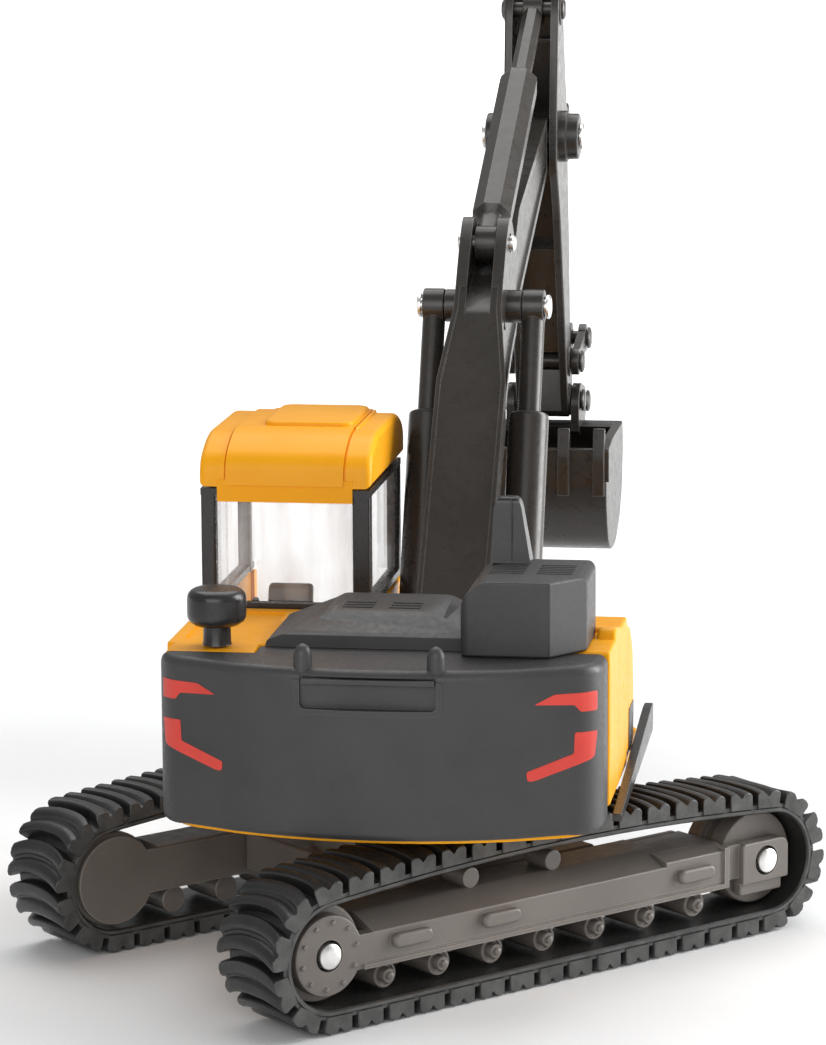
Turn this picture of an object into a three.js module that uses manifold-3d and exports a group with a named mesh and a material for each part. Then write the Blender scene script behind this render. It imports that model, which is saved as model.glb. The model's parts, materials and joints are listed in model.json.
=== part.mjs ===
// Toy tracked excavator: crawler undercarriage, slewing house, boom, stick and bucket.
// Units are millimetres. The undercarriage points along +X, its left side is +Y and +Z is up.
// Each piece is made in slew coordinates (slew axis at x = y = 0, ground at z = 0) and the
// finished group is moved so that the middle of the base of its bounding box is the origin.
import * as THREE from 'three';
import { mergeVertices } from 'three/addons/utils/BufferGeometryUtils.js';
import Module from 'manifold-3d';

const wasm = await Module();
wasm.setup();

// ---------------------------------------------------------------- driving dimensions
const GAP = 0.3;                    // clearance between neighbouring pieces
const SWING = 43.5 * Math.PI / 180; // house slewed to its left at rest

// Undercarriage
const AXLE_X = 36.6;          // drive axle at -AXLE_X, idler axle at +AXLE_X
const AXLE_Z = 9.75;          // also the outer radius of the belt
const BELT_OUT = 29.7;        // |y| of the belt's outer edge
const BELT_IN = 17.9;
const BELT_BAND = 7.85;       // outer radius of the belt's band, under the pads
const BELT_BORE = 6.65;       // inner radius of the belt
const PAD_COUNT = 40;
const PAD_FILL = 0.8;         // pad length over pad pitch
const BELT_ARCH = 1.6;        // how far the upper run bows up
const WHEEL_R = BELT_BORE - GAP;
const WHEEL_IN = 19;
const WHEEL_OUT = 26.3;
const AXLE_R = 1.7;
const CHEEK_IN = 18;          // |y| of the thin cheek on the frame's inner side
const CHEEK_R = 5.9;          // its round end at the drive axle
const FRAME_IN = 18.6;        // |y| of the frame behind the cheek
const FRAME_OUT = 28.4;
const FRAME_LOW = 7.2;
const FRAME_EDGE = 11.6;      // height of the edge between outer face and sloped top
const FRAME_TOP = 13.3;
const DRUM_R = 5.2;           // final drive housing
const ROLLER_FIRST = -26.6;
const ROLLER_PITCH = 8.67;
const ROLLER_COUNT = 7;
const ROLLER_Z = 5.2;
const STUB_XS = [-10.9, 2.8]; // carrier roller stubs
const STUB_Z = 14.55;
const BOSS_XS = [-24, -9.6, 23.7];

// House
const FLOOR = 21.8;           // underside of the swing frame
const PLATE = 23.6;           // its upper face
const DECK = 44;
const LEFT = 29.3;
const RIGHT = -27.8;
const REAR_SIDE = -30.5;      // x of the counterweight's rear corners
const REAR_MID = -38;
const WEIGHT_FRONT = -22.7;
const CAB = { x0: 0.3, x1: 31, y0: 6.3, y1: LEFT, front: 37.5, sill: 43.4,
  eaves: 60, top: 66.8 };

// Boom, stick and bucket lie in the plane y = ARM_Y; points below are [x, z] in it
const ARM_Y = -4;
const BOOM_FOOT = [4, 36];
const LIFT_FOOT = [16, 28];
const LIFT_TOP = [38.5, 79.9];
const CROWD_FOOT = [41.6, 88.4];
const BOOM_TIP = [98, 98.4];
const CROWD_TOP = [98.6, 117.6];
const TILT_FOOT = [111.5, 101];
const ROCKER_PIN = [111.2, 61.9];
const ROCKER_TIP = [121.8, 64.2];
const BUCKET_PIN = [112.5, 55.6];
const BUCKET_LINK = [119.6, 54.4];
const LIFT_DY = 7;            // lift cylinders either side of the boom
const PIN_R = 1.1;
const BORE_R = PIN_R + GAP;
const STICK_HALF = 4.1;       // outer half width of the stick
const CHANNEL_HALF = 2.9;     // half width of the channel inside it
const BUCKET_HALF = 12;
const TOOTH_PITCH = 5.4;

// Cylinders: radii of barrel, bore, rod and eyes, half width of the eyes, where the barrel's
// shoulder starts, how long the barrel is from its eye, and how far the rod runs from its own
const LIFT = { outer: 2.8, sides: 14, bore: 2.2, rod: 1.6, rodSides: 10, eye: 2.2, rodEye: 2.4,
  eyeHalf: 1.5, shoulder: 3.6, barrel: 41, reach: 23.6 };
const CROWD = { outer: 2.95, sides: 8, bore: 2.5, rod: 1.6, rodSides: 8, eye: 2.4, rodEye: 2.3,
  eyeHalf: 1.35, shoulder: 5, barrel: 43, reach: 29 };
const TILT = { outer: 2.3, sides: 12, bore: 1.95, rod: 1.1, rodSides: 8, eye: 1.9, rodEye: 2,
  eyeHalf: 1.3, shoulder: 5.2, barrel: 21.5, reach: 21 };

// ---------------------------------------------------------------- solids
function solidOf(geometry) {
  const bare = geometry.clone();
  for (const name of ['normal', 'uv']) bare.deleteAttribute(name);
  const merged = mergeVertices(bare, 1e-4);
  return new wasm.Manifold(new wasm.Mesh({
    numProp: 3,
    vertProperties: new Float32Array(merged.attributes.position.array),
    triVerts: new Uint32Array(merged.index.array),
  }));
}

function join(...solids) {
  return solids.reduce((whole, next) => whole.add(next));
}

function cut(solid, ...tools) {
  return tools.reduce((rest, tool) => rest.subtract(tool), solid);
}

function box(xs, ys, zs) {
  const size = [xs, ys, zs].map((pair) => Math.abs(pair[1] - pair[0]));
  const middle = [xs, ys, zs].map((pair) => (pair[0] + pair[1]) / 2);
  return solidOf(new THREE.BoxGeometry(...size).translate(...middle));
}

// Outline with every corner rounded by the given radius; a point may carry its own radius
function outline(points, radius = 0) {
  const shape = new THREE.Shape();
  const count = points.length;
  for (let i = 0; i < count; i += 1) {
    const here = new THREE.Vector2(points[i][0], points[i][1]);
    const r = points[i][2] ?? radius;
    const before = new THREE.Vector2(...points[(i + count - 1) % count].slice(0, 2)).sub(here);
    const after = new THREE.Vector2(...points[(i + 1) % count].slice(0, 2)).sub(here);
    const start = before.clone().setLength(Math.min(r, before.length() * 0.48)).add(here);
    const end = after.clone().setLength(Math.min(r, after.length() * 0.48)).add(here);
    if (i === 0) shape.moveTo(start.x, start.y);
    else shape.lineTo(start.x, start.y);
    if (r > 0) shape.quadraticCurveTo(here.x, here.y, end.x, end.y);
  }
  shape.closePath();
  return shape;
}

function extrude(shape, depth, bevel) {
  return new THREE.ExtrudeGeometry(shape, {
    depth: depth - 2 * bevel,
    curveSegments: 2,
    bevelEnabled: bevel > 0,
    bevelThickness: bevel,
    bevelSize: bevel,
    bevelOffset: -bevel,
    bevelSegments: 1,
  }).translate(0, 0, bevel);
}

// [x, z] outline between two y values
function side(points, ys, radius = 0, bevel = 0) {
  const depth = Math.abs(ys[1] - ys[0]);
  const geometry = extrude(outline(points, radius), depth, bevel).rotateX(Math.PI / 2);
  return solidOf(geometry.translate(0, Math.max(...ys), 0));
}

// [x, y] outline between two z values
function plan(points, zs, radius = 0, bevel = 0) {
  const geometry = extrude(outline(points, radius), zs[1] - zs[0], bevel);
  return solidOf(geometry.translate(0, 0, zs[0]));
}

// [y, z] outline between two x values
function front(points, xs, radius = 0) {
  const toFront = new THREE.Matrix4().makeBasis(
    new THREE.Vector3(0, 1, 0), new THREE.Vector3(0, 0, 1), new THREE.Vector3(1, 0, 0));
  const geometry = extrude(outline(points, radius), xs[1] - xs[0], 0).applyMatrix4(toFront);
  return solidOf(geometry.translate(xs[0], 0, 0));
}

function pin([x, z], radius, ys, segments = 12) {
  const length = Math.abs(ys[1] - ys[0]);
  const geometry = new THREE.CylinderGeometry(radius, radius, length, segments);
  return solidOf(geometry.translate(x, (ys[0] + ys[1]) / 2, z));
}

function post([x, y], radius, zs, segments = 16) {
  const geometry = new THREE.CylinderGeometry(radius, radius, zs[1] - zs[0], segments);
  return solidOf(geometry.rotateX(Math.PI / 2).translate(x, y, (zs[0] + zs[1]) / 2));
}

// Turned piece: profile of [radius, height] about a vertical axis
function turned([x, y], profile, segments = 16) {
  const points = profile.map(([r, z]) => new THREE.Vector2(r, z));
  const geometry = new THREE.LatheGeometry(points, segments).rotateX(Math.PI / 2);
  return solidOf(geometry.translate(x, y, 0));
}

// Bar along the arm plane from one [x, z] point towards another, between two distances
function bar(from, to, [near, far], radius, y, segments = 12) {
  const direction = new THREE.Vector3(to[0] - from[0], 0, to[1] - from[1]).normalize();
  const geometry = new THREE.CylinderGeometry(radius, radius, far - near, segments, 1);
  geometry.rotateY(Math.PI / segments);
  geometry.translate(0, (near + far) / 2, 0);
  const turn = new THREE.Quaternion().setFromUnitVectors(new THREE.Vector3(0, 1, 0), direction);
  geometry.applyQuaternion(turn).translate(from[0], y, from[1]);
  return solidOf(geometry);
}

function distance(a, b) {
  return Math.hypot(b[0] - a[0], b[1] - a[1]);
}

function across(half, middle = ARM_Y) {
  return [middle - half, middle + half];
}

// ---------------------------------------------------------------- materials
function finish(color, roughness, metalness = 0) {
  return new THREE.MeshStandardMaterial({ color, roughness, metalness });
}

const darkPaint = finish(0x3b3a39, 0.5);
const darkPlastic = finish(0x2d2c2b, 0.35);
const armPlastic = finish(0x35312e, 0.4);
const framePlastic = finish(0x45403b, 0.45);
const yellowPaint = finish(0xf5a50f, 0.35);
const rubber = finish(0x151515, 0.55);
const steel = finish(0xc9c9c9, 0.3, 0.9);
const seatPlastic = finish(0x3a2e28, 0.5);
const clear = finish(0xeef2f4, 0.05);
clear.transparent = true;
clear.opacity = 0.3;

// ---------------------------------------------------------------- scene graph
const excavator = new THREE.Group();
const undercarriage = new THREE.Group();
const house = new THREE.Group();
house.rotation.z = SWING;
excavator.add(undercarriage, house);

function place(group, name, solid, material) {
  const mesh = solid.getMesh();
  const geometry = new THREE.BufferGeometry();
  geometry.setAttribute('position', new THREE.BufferAttribute(mesh.vertProperties, 3));
  geometry.setIndex(new THREE.BufferAttribute(mesh.triVerts, 1));
  geometry.computeVertexNormals();
  const piece = new THREE.Mesh(geometry, material);
  piece.name = name;
  group.add(piece);
}

// ---------------------------------------------------------------- undercarriage
function carbody() {
  const block = box([-16, 16], [-CHEEK_IN + GAP, CHEEK_IN - GAP], [7.6, 13.2]);
  const tower = post([0, 0], 14.5, [7.6, 18.6], 24);
  const hub = post([0, 0], 10.7, [18, 21.5], 24);
  return cut(join(block, tower, hub), post([0, 0], 2.5, [11, 22]));
}

function slewRing() {
  return cut(post([0, 0], 14.5, [18.6 + GAP, 21.5], 24), post([0, 0], 11, [18, 22], 24));
}

function slewRivet() {
  return turned([0, 0], [[0, 12], [2.2, 12], [2.2, PLATE + GAP], [4, PLATE + GAP],
    [4, PLATE + 1], [3.2, PLATE + 1.7], [0, PLATE + 1.7]]);
}

function trackFrame(hand) {
  const reach = (inner, outer) => [hand * inner, hand * outer];
  const section = (top, shoulder, edge) => [
    [hand * FRAME_IN, FRAME_LOW], [hand * FRAME_OUT, FRAME_LOW], [hand * FRAME_OUT, edge],
    [hand * shoulder, top], [hand * FRAME_IN, top]];
  const oriented = (points) => (hand > 0 ? points : [...points].reverse());
  const main = front(oriented(section(FRAME_TOP, 24.2, FRAME_EDGE)), [-29.6, 20]);
  const nose = front(oriented(section(12.9, 26, 12.2)), [19, 29.8]);
  const innerSpan = reach(CHEEK_IN, FRAME_IN + 0.1);
  const parts = [main, nose,
    box([-AXLE_X, 29], innerSpan, [FRAME_LOW, 13]),
    pin([-AXLE_X, AXLE_Z], CHEEK_R, innerSpan, 24),
    box([-34, -29], reach(WHEEL_OUT + GAP, FRAME_OUT), [FRAME_LOW, FRAME_EDGE]),
    pin([-AXLE_X, AXLE_Z], DRUM_R, reach(WHEEL_OUT + GAP, FRAME_OUT), 20),
    box([29, 33.4], reach(WHEEL_OUT + GAP, 27.9), [7.8, 12.4]),
    box([32.4, 40.6], reach(WHEEL_OUT + GAP, 28.7), [6.9, 12.5]),
    box([32.4, 40], reach(WHEEL_OUT + GAP, 28), [5.2, 7])];
  for (let i = 0; i < ROLLER_COUNT; i += 1) {
    const x = ROLLER_FIRST + ROLLER_PITCH * i;
    parts.push(
      box([x - 0.9, x + 0.9], reach(20, 25.6), [ROLLER_Z, FRAME_LOW + 0.2]),
      pin([x, ROLLER_Z], 1.8, reach(19.4, 26.6), 8),
      pin([x, ROLLER_Z], 1, reach(26.5, 27.6), 8),
      pin([x, ROLLER_Z], 0.45, reach(27.1, 27.7), 8));
  }
  for (const x of STUB_XS) parts.push(pin([x, STUB_Z], 1.35, reach(20, 24.5), 12));
  for (const x of BOSS_XS) {
    const slot = [[x - 3.1, 9.1], [x + 3.1, 9.1], [x + 3.1, 11], [x - 3.1, 11]];
    parts.push(side(slot, reach(FRAME_OUT - 0.2, 29.5), 0.9));
  }
  const bores = [-AXLE_X, AXLE_X].map((x) => pin([x, AXLE_Z], AXLE_R + GAP, reach(26, 29)));
  return cut(join(...parts), ...bores);
}

// Belt path: a straight lower run, a bowed upper run and two half circles; the point at a
// distance along it and at a radius measured from the axles
function beltPoint(distanceAlong, radius) {
  const run = 2 * AXLE_X;
  const bend = Math.PI * BELT_BAND;
  const total = 2 * (run + bend);
  const s = ((distanceAlong % total) + total) % total;
  if (s < run) return [-AXLE_X + s, AXLE_Z - radius];
  if (s < run + bend) {
    const angle = -Math.PI / 2 + (s - run) / BELT_BAND;
    return [AXLE_X + radius * Math.cos(angle), AXLE_Z + radius * Math.sin(angle)];
  }
  if (s < 2 * run + bend) {
    const x = AXLE_X - (s - run - bend);
    return [x, AXLE_Z + radius + BELT_ARCH * (1 - (x / AXLE_X) ** 2)];
  }
  const angle = Math.PI / 2 + (s - 2 * run - bend) / BELT_BAND;
  return [-AXLE_X + radius * Math.cos(angle), AXLE_Z + radius * Math.sin(angle)];
}

function rubberTrack(hand) {
  const pitch = (4 * AXLE_X + 2 * Math.PI * BELT_BAND) / PAD_COUNT;
  const half = pitch * PAD_FILL / 2;
  const outer = [];
  const inner = [];
  for (let i = 0; i < PAD_COUNT; i += 1) {
    const middle = i * pitch;
    outer.push(beltPoint(middle - half, BELT_BAND), beltPoint(middle - half, AXLE_Z));
    outer.push(beltPoint(middle + half, AXLE_Z), beltPoint(middle + half, BELT_BAND));
    inner.push(beltPoint(middle - pitch / 4, BELT_BORE), beltPoint(middle + pitch / 4, BELT_BORE));
  }
  const ys = [hand * BELT_IN, hand * BELT_OUT];
  return cut(side(outer, ys), side(inner, [hand * (BELT_IN - 1), hand * (BELT_OUT + 1)]));
}

// Drive and idler wheels: a drum with a middle groove that guides the belt
function wheel(x, hand) {
  const at = [x, AXLE_Z];
  const middle = (WHEEL_IN + WHEEL_OUT) / 2;
  const groove = cut(pin(at, 8, [hand * (middle - 1), hand * (middle + 1)], 8),
    pin(at, 5.4, [hand * (middle - 2), hand * (middle + 2)], 16));
  const drum = pin(at, WHEEL_R, [hand * WHEEL_IN, hand * WHEEL_OUT], 20);
  return cut(drum, groove, pin(at, AXLE_R + 0.2, [hand * 18, hand * 27], 12));
}

function axleRivet(x, face, hand) {
  return join(pin([x, AXLE_Z], AXLE_R, [hand * (WHEEL_IN + 0.4), hand * face]),
    pin([x, AXLE_Z], AXLE_R - 0.5, [hand * (face - 0.1), hand * (face + 0.35)]));
}

// ---------------------------------------------------------------- house
// Curved rear edge seen from above, from the left corner round to the right one
function rearOutline(inset) {
  const left = LEFT - inset;
  const right = RIGHT + inset;
  const middle = (LEFT + RIGHT) / 2;
  const steps = 6;
  const points = [];
  for (let i = 0; i <= steps; i += 1) {
    const t = -1 + 2 * i / steps;
    const y = middle - t * (left - middle);
    const x = REAR_MID + inset + (REAR_SIDE - REAR_MID) * t * t;
    points.push([x, y, Math.abs(t) === 1 ? 5 : 3]);
  }
  return { points, left, right };
}

function counterweight() {
  const { points, left, right } = rearOutline(0);
  const shape = [[WEIGHT_FRONT - GAP, left, 1.6], ...points, [WEIGHT_FRONT - GAP, right, 1.6]];
  const block = plan(shape, [FLOOR + 0.1, DECK], 0, 1.1);
  const pocket = box([-40, REAR_MID + 1.3], [-7.6, 9.6], [39, 42.2]);
  const under = rearOutline(0.5);
  const plateShape = [[WEIGHT_FRONT + 1, under.left], ...under.points, [WEIGHT_FRONT + 1, under.right]];
  const floorPlate = plan(plateShape, [20, PLATE + GAP]);
  const deckSeat = box([-28.3, WEIGHT_FRONT + 1], [16.7, 31], [42.1, 46]);
  const posts = [9, -7].map((y) => turned([-33.2, y],
    [[0, 42], [1.15, 42], [1.15, 46], [0.9, 46.6], [0, 46.9]], 16));
  return join(cut(block, pocket, floorPlate, deckSeat), ...posts);
}

function engineCover() {
  const low = DECK + GAP;
  const hood = front([[15.6, low], [15.6, 45.4, 0.6], [13.4, 47.2, 0.8], [9.6, 47.3, 0.4],
    [8.6, 48, 0.4], [-5.6, 48, 0.4], [-6.8, 47.2, 0.4], [-11, 47.2], [-11, low]],
  [-23.6, -8]);
  const slope = side([[-25, 46.2], [-19, 48.6], [-25, 50]], [-12, 17]);
  const blockPlan = plan([[-28, -9.3, 0.8], [-28, -20.6, 0.4], [-22.6, -24.9, 0.4],
    [-11.5, -24.9, 0.8], [-11.5, -9.3, 0.8]], [low, 53.7], 0.5);
  const blockFront = front([[-9.2, low], [-9.2, 51, 1.4], [-11.6, 53.7, 1.6], [-24.4, 53.7, 0.6],
    [-25, 53, 0.4], [-25, low]], [-29, -11]);
  const slots = [];
  for (const y of [5.3, -0.8]) {
    for (const x of [-17.4, -15.9, -14.4]) {
      slots.push(box([x - 0.4, x + 0.4], [y - 2, y + 2], [47.4, 49]));
    }
  }
  for (const y of [-14.6, -20.6]) {
    for (let i = 0; i < 5; i += 1) {
      const x = -21.6 + 1.3 * i;
      slots.push(box([x - 0.35, x + 0.35], [y - 2.2, y + 2.2], [53.1, 55]));
    }
  }
  return cut(join(cut(hood, slope), blockPlan.intersect(blockFront)), ...slots);
}

function exhaust() {
  const fin = front([[-16.4, 54], [-16.3, 56, 0.8], [-15, 61.4, 1], [-14.6, 62.1, 0.6],
    [-12, 62.1, 0.9], [-11.2, 54]], [-15.2, -12], 0.2);
  const sweep = side([[-15.2, 54], [-12, 54], [-12.2, 62.2, 0.8], [-14.4, 62.2, 0.8]], [-17, -11]);
  return fin.intersect(sweep);
}

function precleaner() {
  return turned([-24.8, 22.3], [[0, DECK + GAP], [1.8, DECK + GAP], [1.8, 47], [3.3, 47],
    [3.8, 47.7], [3.8, 50.8], [3.2, 51.6], [0, 51.6]], 16);
}

function swingFrame() {
  const { points, left, right } = rearOutline(0.8);
  const shape = [[30, left, 1], ...points, [24, right, 1], [24, -15, 1], [20.5, -13.4, 1],
    [20.5, 5.4, 1], [30, 6.4, 1]];
  const plate = plan(shape, [FLOOR, PLATE], 1);
  const parts = [plate];
  const ear = [[-3, PLATE - 0.4], [10.6, PLATE - 0.4], [7.6, 37.5, 3], [4, 40.8, 3], [0.4, 37.5, 3]];
  for (const dy of [-5.95, 5.95]) {
    parts.push(side(ear, across(0.85, ARM_Y + dy)));
  }
  const cheek = [[12.4, PLATE - 0.4], [19.8, PLATE - 0.4], [18.2, 30.2, 1.6], [13.8, 30.2, 1.6]];
  parts.push(side(cheek, across(4.6)));
  const rivetRoom = post([0, 0], 4.4, [PLATE, PLATE + 2.2]);
  const bores = [BOOM_FOOT, LIFT_FOOT].map((at) => pin(at, BORE_R, across(8)));
  return cut(join(...parts), rivetRoom, post([0, 0], 2.5, [20, 25]), ...bores);
}

function bodyShell() {
  const low = PLATE + GAP;
  const main = box([WEIGHT_FRONT, 0], [RIGHT, LEFT], [low, DECK]);
  const tongue = box([-28, WEIGHT_FRONT + 1], [17, LEFT - 0.9], [42.4, DECK]);
  const boxRight = side([[-20, 30], [8, low, 0.4], [9.6, 32, 2], [8.4, 38.6, 3], [4, 42.2, 2],
    [-14.2, 45.4, 1.4], [-15.2, DECK - 0.2]], [-25.3, RIGHT], 0.4);
  const boxInner = side([[-10.8, 30], [8, low, 0.4], [9.6, 32, 2], [8.4, 38.6, 3], [4, 42.2, 2],
    [-10.8, 44.8, 0.6]], [-25.5, -14.8], 0.2);
  const skirt = box([-1, 8], [-25.5, RIGHT + 0.4], [low, 32]);
  const inner = box([WEIGHT_FRONT + 1.6, -1.6], [RIGHT + 1.6, LEFT - 1.6], [20, DECK - 1.8]);
  const innerRight = box([-3, 6.6], [RIGHT + 1.8, -16.4], [20, 39]);
  const clearEars = box([-4.8, 0.5], [-11.4, 4.8], [20, 42.2]);
  return cut(join(main, tongue, boxRight, boxInner, skirt), inner, innerRight, clearEars);
}

function sideStep() {
  const run = [[-22.4, 21.9], [22.4, 21.9], [23, 27.4, 0.8], [17.6, 27.4, 1.5], [15.4, 23.4, 1],
    [-22.4, 22.9]];
  return side(run, [RIGHT - GAP, RIGHT - 1.5]);
}

// ---------------------------------------------------------------- cab
function cabPosts(grow) {
  const g = grow;
  const low = CAB.sill + GAP;
  const post4 = (x0, x1, y0, y1) => box([x0 - g, x1 + g], [y0 - g, y1 + g], [low, CAB.eaves]);
  return join(
    post4(CAB.x0, 2.2, 27.2, CAB.y1 - 0.1), post4(CAB.x0, 2.4, CAB.y0 + 0.1, 8.8),
    post4(26.4, 28.2, 27.4, CAB.y1 - 0.1), post4(26.4, 28.2, CAB.y0 + 0.1, 8.2));
}

function cabFrame() {
  const low = CAB.sill + GAP;
  const ring = (z0, z1, far) => cut(
    box([CAB.x0, far], [CAB.y0 + 0.1, CAB.y1 - 0.1], [z0, z1]),
    box([1.8, far - 1.8], [CAB.y0 + 1.8, CAB.y1 - 1.8], [z0 - 1, z1 + 1]));
  const openFront = box([28, 31], [CAB.y0 + 1.8, CAB.y1 - 1.8], [low - 1, low + 2]);
  return join(cut(ring(low, low + 0.9, 29.8), openFront),
    ring(CAB.eaves - 0.9, CAB.eaves, 28.2), cabPosts(0));
}

function cabGlazing() {
  const low = CAB.sill + GAP + 0.9 + GAP;
  const high = CAB.eaves - 0.9 - GAP;
  const shellOf = (inset) => cut(
    side([[0.9 + inset, low - inset], [29.4 - inset, low - inset], [27.8 - inset, high + inset],
      [0.9 + inset, high + inset]], [CAB.y0 + 0.7 + inset, CAB.y1 - 0.7 - inset]),
    cabPosts(GAP + inset));
  const lowPane = box([28.6, 29.4], [CAB.y0 + 2.3, CAB.y1 - 2.3], [CAB.front + GAP, low + 0.1]);
  return join(cut(shellOf(0), shellOf(0.8)), lowPane);
}

function cabBody() {
  const shape = [[CAB.x0, PLATE + GAP], [29, PLATE + GAP, 1.5], [31, 30, 4], [30.6, CAB.sill, 0.6],
    [CAB.x0, CAB.sill, 0.4]];
  const tub = side(shape, [CAB.y0, CAB.y1]);
  const lowWindow = box([28, 32], [CAB.y0 + 2, CAB.y1 - 2], [CAB.front, 45]);
  return cut(tub, box([1.8, 28.6], [CAB.y0 + 1.5, CAB.y1 - 1.5], [27, 50]), lowWindow);
}

function cabRoof() {
  const low = CAB.eaves + GAP;
  const profile = (inset) => [
    [CAB.x0 - 0.3 + inset, low - inset, 0], [CAB.x0 + 0.2 + inset, 64 - inset, 5],
    [6 + inset, CAB.top - inset, 4], [26 - inset, CAB.top - inset, 4],
    [30.4 - inset, 64.2 - inset, 2], [30.2 - inset, low - inset, 0]];
  const crown = side(profile(0), [CAB.y0 - 0.1, CAB.y1 + 0.1], 0, 0.8);
  const hollow = side(profile(1.4), [CAB.y0 + 1.5, CAB.y1 - 1.5]);
  const hatch = plan([[7, 11.6, 1.5], [25, 11.6, 1.5], [25, 24, 1.5], [7, 24, 1.5]],
    [CAB.top - 0.6, CAB.top + 1.2], 1, 0.4);
  return cut(join(crown, hatch), hollow);
}

function cabSeat() {
  const back = side([[8.6, 33], [11.6, 33], [13.4, 45, 0.8], [11.2, 45, 0.8]], [16.2, 22.2], 0.3);
  const cushion = side([[8.6, 30], [18.4, 30], [18.6, 33.6, 1.2], [8.6, 33.6]], [15.6, 22.8]);
  const base = box([9.6, 16], [17, 21.4], [27 + GAP, 30.2]);
  return join(back, cushion, base);
}

function cabConsole(y) {
  const body = side([[9, 27 + GAP], [19.6, 27 + GAP], [20.4, 36.4, 0.6], [9.6, 38.6, 0.6]],
    across(1.6, y));
  const lever = bar([18.6, 36], [19.6, 44], [0, 5.6], 0.4, y, 8);
  return join(body, lever);
}

// ---------------------------------------------------------------- boom and its cylinders
function boom() {
  const sideView = [[-0.6, 33.6, 3], [0, 40, 2.5], [34.2, 85, 3], [37.9, 89.8, 3],
    [41.4, 92.6, 2], [44.8, 90.6, 2], [47, 87.6, 3], [60, 92, 4], [94, 101.6, 3],
    [101.4, 101.4, 3], [101.8, 95.6, 3], [95.6, 94, 3], [60, 79, 4], [46, 73.2, 6],
    [40.4, 69.6, 4], [9.4, 31.6, 3], [4, 30.8, 3]];
  // Widths as seen from above, mirrored about the arm plane
  const tapered = (halves) => {
    const half = halves.map(([x, y]) => [x, -y]).concat([...halves].reverse());
    return plan(half.map(([x, y]) => [x, y + ARM_Y]), [20, 125]);
  };
  const spine = [[-4, 41], [35, 93], [60, 96], [60, 85], [37.4, 82], [2.4, 37.2], [-4, 33]];
  const beam = side(sideView, across(6));
  const core = beam.intersect(
    tapered([[-3, 3.4], [24, 3.4], [31, 3.2], [49, 3.2], [58, 2.6], [104, 2.6]]));
  const flange = beam.intersect(side(spine, across(6)))
    .intersect(tapered([[-3, 4.8], [24, 4.8], [31, 3.3], [49, 3.3]]));
  const collars = pin(LIFT_TOP, 2.3, across(LIFT_DY - 1.5 - GAP));
  const slot = side([[24, 76], [32, 80.6], [38.6, 83.9], [48.4, 85], [54, 100], [30, 100]],
    across(1.7));
  const bores = [BOOM_FOOT, LIFT_TOP, CROWD_FOOT, BOOM_TIP].map((at) => pin(at, BORE_R, across(9)));
  const foot = pin(BOOM_FOOT, 3.4, across(4.8));
  return cut(join(core, flange, foot, collars), slot, ...bores);
}

// Cylinder barrel with an eye at its foot and a blind bore open towards the rod
function barrel(foot, top, sizes, y) {
  const body = bar(foot, top, [sizes.shoulder, sizes.barrel], sizes.outer, y, sizes.sides);
  const neck = bar(foot, top, [0.6, sizes.shoulder + 0.4], sizes.eye * 0.8, y, 12);
  const width = across(sizes.eyeHalf, y);
  const flats = box([foot[0] - 9, foot[0] + 9], width, [foot[1] - 9, foot[1] + 9]);
  const root = join(pin(foot, sizes.eye, width), neck.intersect(flats));
  const bore = bar(foot, top, [sizes.shoulder + 2, sizes.barrel + 1], sizes.bore, y, 12);
  return cut(join(body, root), bore, pin(foot, BORE_R, across(9, y)));
}

// Rod from its eye back into the barrel
function rod(foot, top, sizes, y) {
  const shaft = bar(top, foot, [0.4, sizes.reach], sizes.rod, y, sizes.rodSides);
  const eye = pin(top, sizes.rodEye, across(sizes.eyeHalf, y));
  return cut(join(shaft, eye), pin(top, BORE_R, across(9, y)));
}

// ---------------------------------------------------------------- stick and linkage
function stick() {
  const sideView = [[95.6, 117.6, 2], [97, 120.4, 1.6], [100.6, 120.4, 1.6], [102.4, 117, 2],
    [107.6, 102, 4], [111.3, 79, 6], [112.9, 64.4, 3], [115.4, 55.8, 2.2], [113.4, 52.8, 2.2],
    [110.2, 53.2, 2.2], [107.4, 61.6, 3], [97.6, 88, 5], [93.4, 93.8, 3], [93.6, 102, 3]];
  const body = side(sideView, across(STICK_HALF));
  const web = 1.3;
  const channel = side([[90, 110], [90, 50], [109.4, 50], [110.4, 58], [111.4, 62],
    [110.8, 66.4], [110, 79], [106.3, 101.6], [101.2, 115], [100.4, 122], [90, 122]],
  across(CHANNEL_HALF));
  const tailWeb = side([[102.4 - web, 113], [106, 102.6], [106, 101.4], [104.6, 101.4], [100.9, 112.4]],
    across(CHANNEL_HALF + 0.2));
  const rib = side([[106.8, 80], [108.4, 72], [110.6, 72], [110.6, 80]], across(CHANNEL_HALF + 0.2));
  const bosses = pin(BOOM_TIP, 3.5, across(7.1));
  const bossGap = pin(BOOM_TIP, 5, across(CHANNEL_HALF));
  const ears = side([[106, 98], [111.2, 96.4], [113.8, 100.4, 2], [112.4, 103.4, 2], [106, 103.4]],
    across(3.2));
  const earGap = box([108.6, 115], across(1.6), [95, 105]);
  const bores = [BOOM_TIP, CROWD_TOP, TILT_FOOT, ROCKER_PIN, BUCKET_PIN]
    .map((at) => pin(at, BORE_R, across(9)));
  const channelled = join(cut(body, channel), tailWeb, rib);
  return cut(join(channelled, cut(bosses, bossGap), cut(ears, earGap)), ...bores);
}

// Flat link between two points: round eyes joined by a straight waist
function link(from, to, fromR, toR, waist, ys) {
  const length = distance(from, to);
  const nx = -(to[1] - from[1]) / length * waist;
  const nz = (to[0] - from[0]) / length * waist;
  const web = side([[from[0] + nx, from[1] + nz], [from[0] - nx, from[1] - nz],
    [to[0] - nx, to[1] - nz], [to[0] + nx, to[1] + nz]], ys);
  return join(web, pin(from, fromR, ys, 14), pin(to, toR, ys, 14));
}

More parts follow.
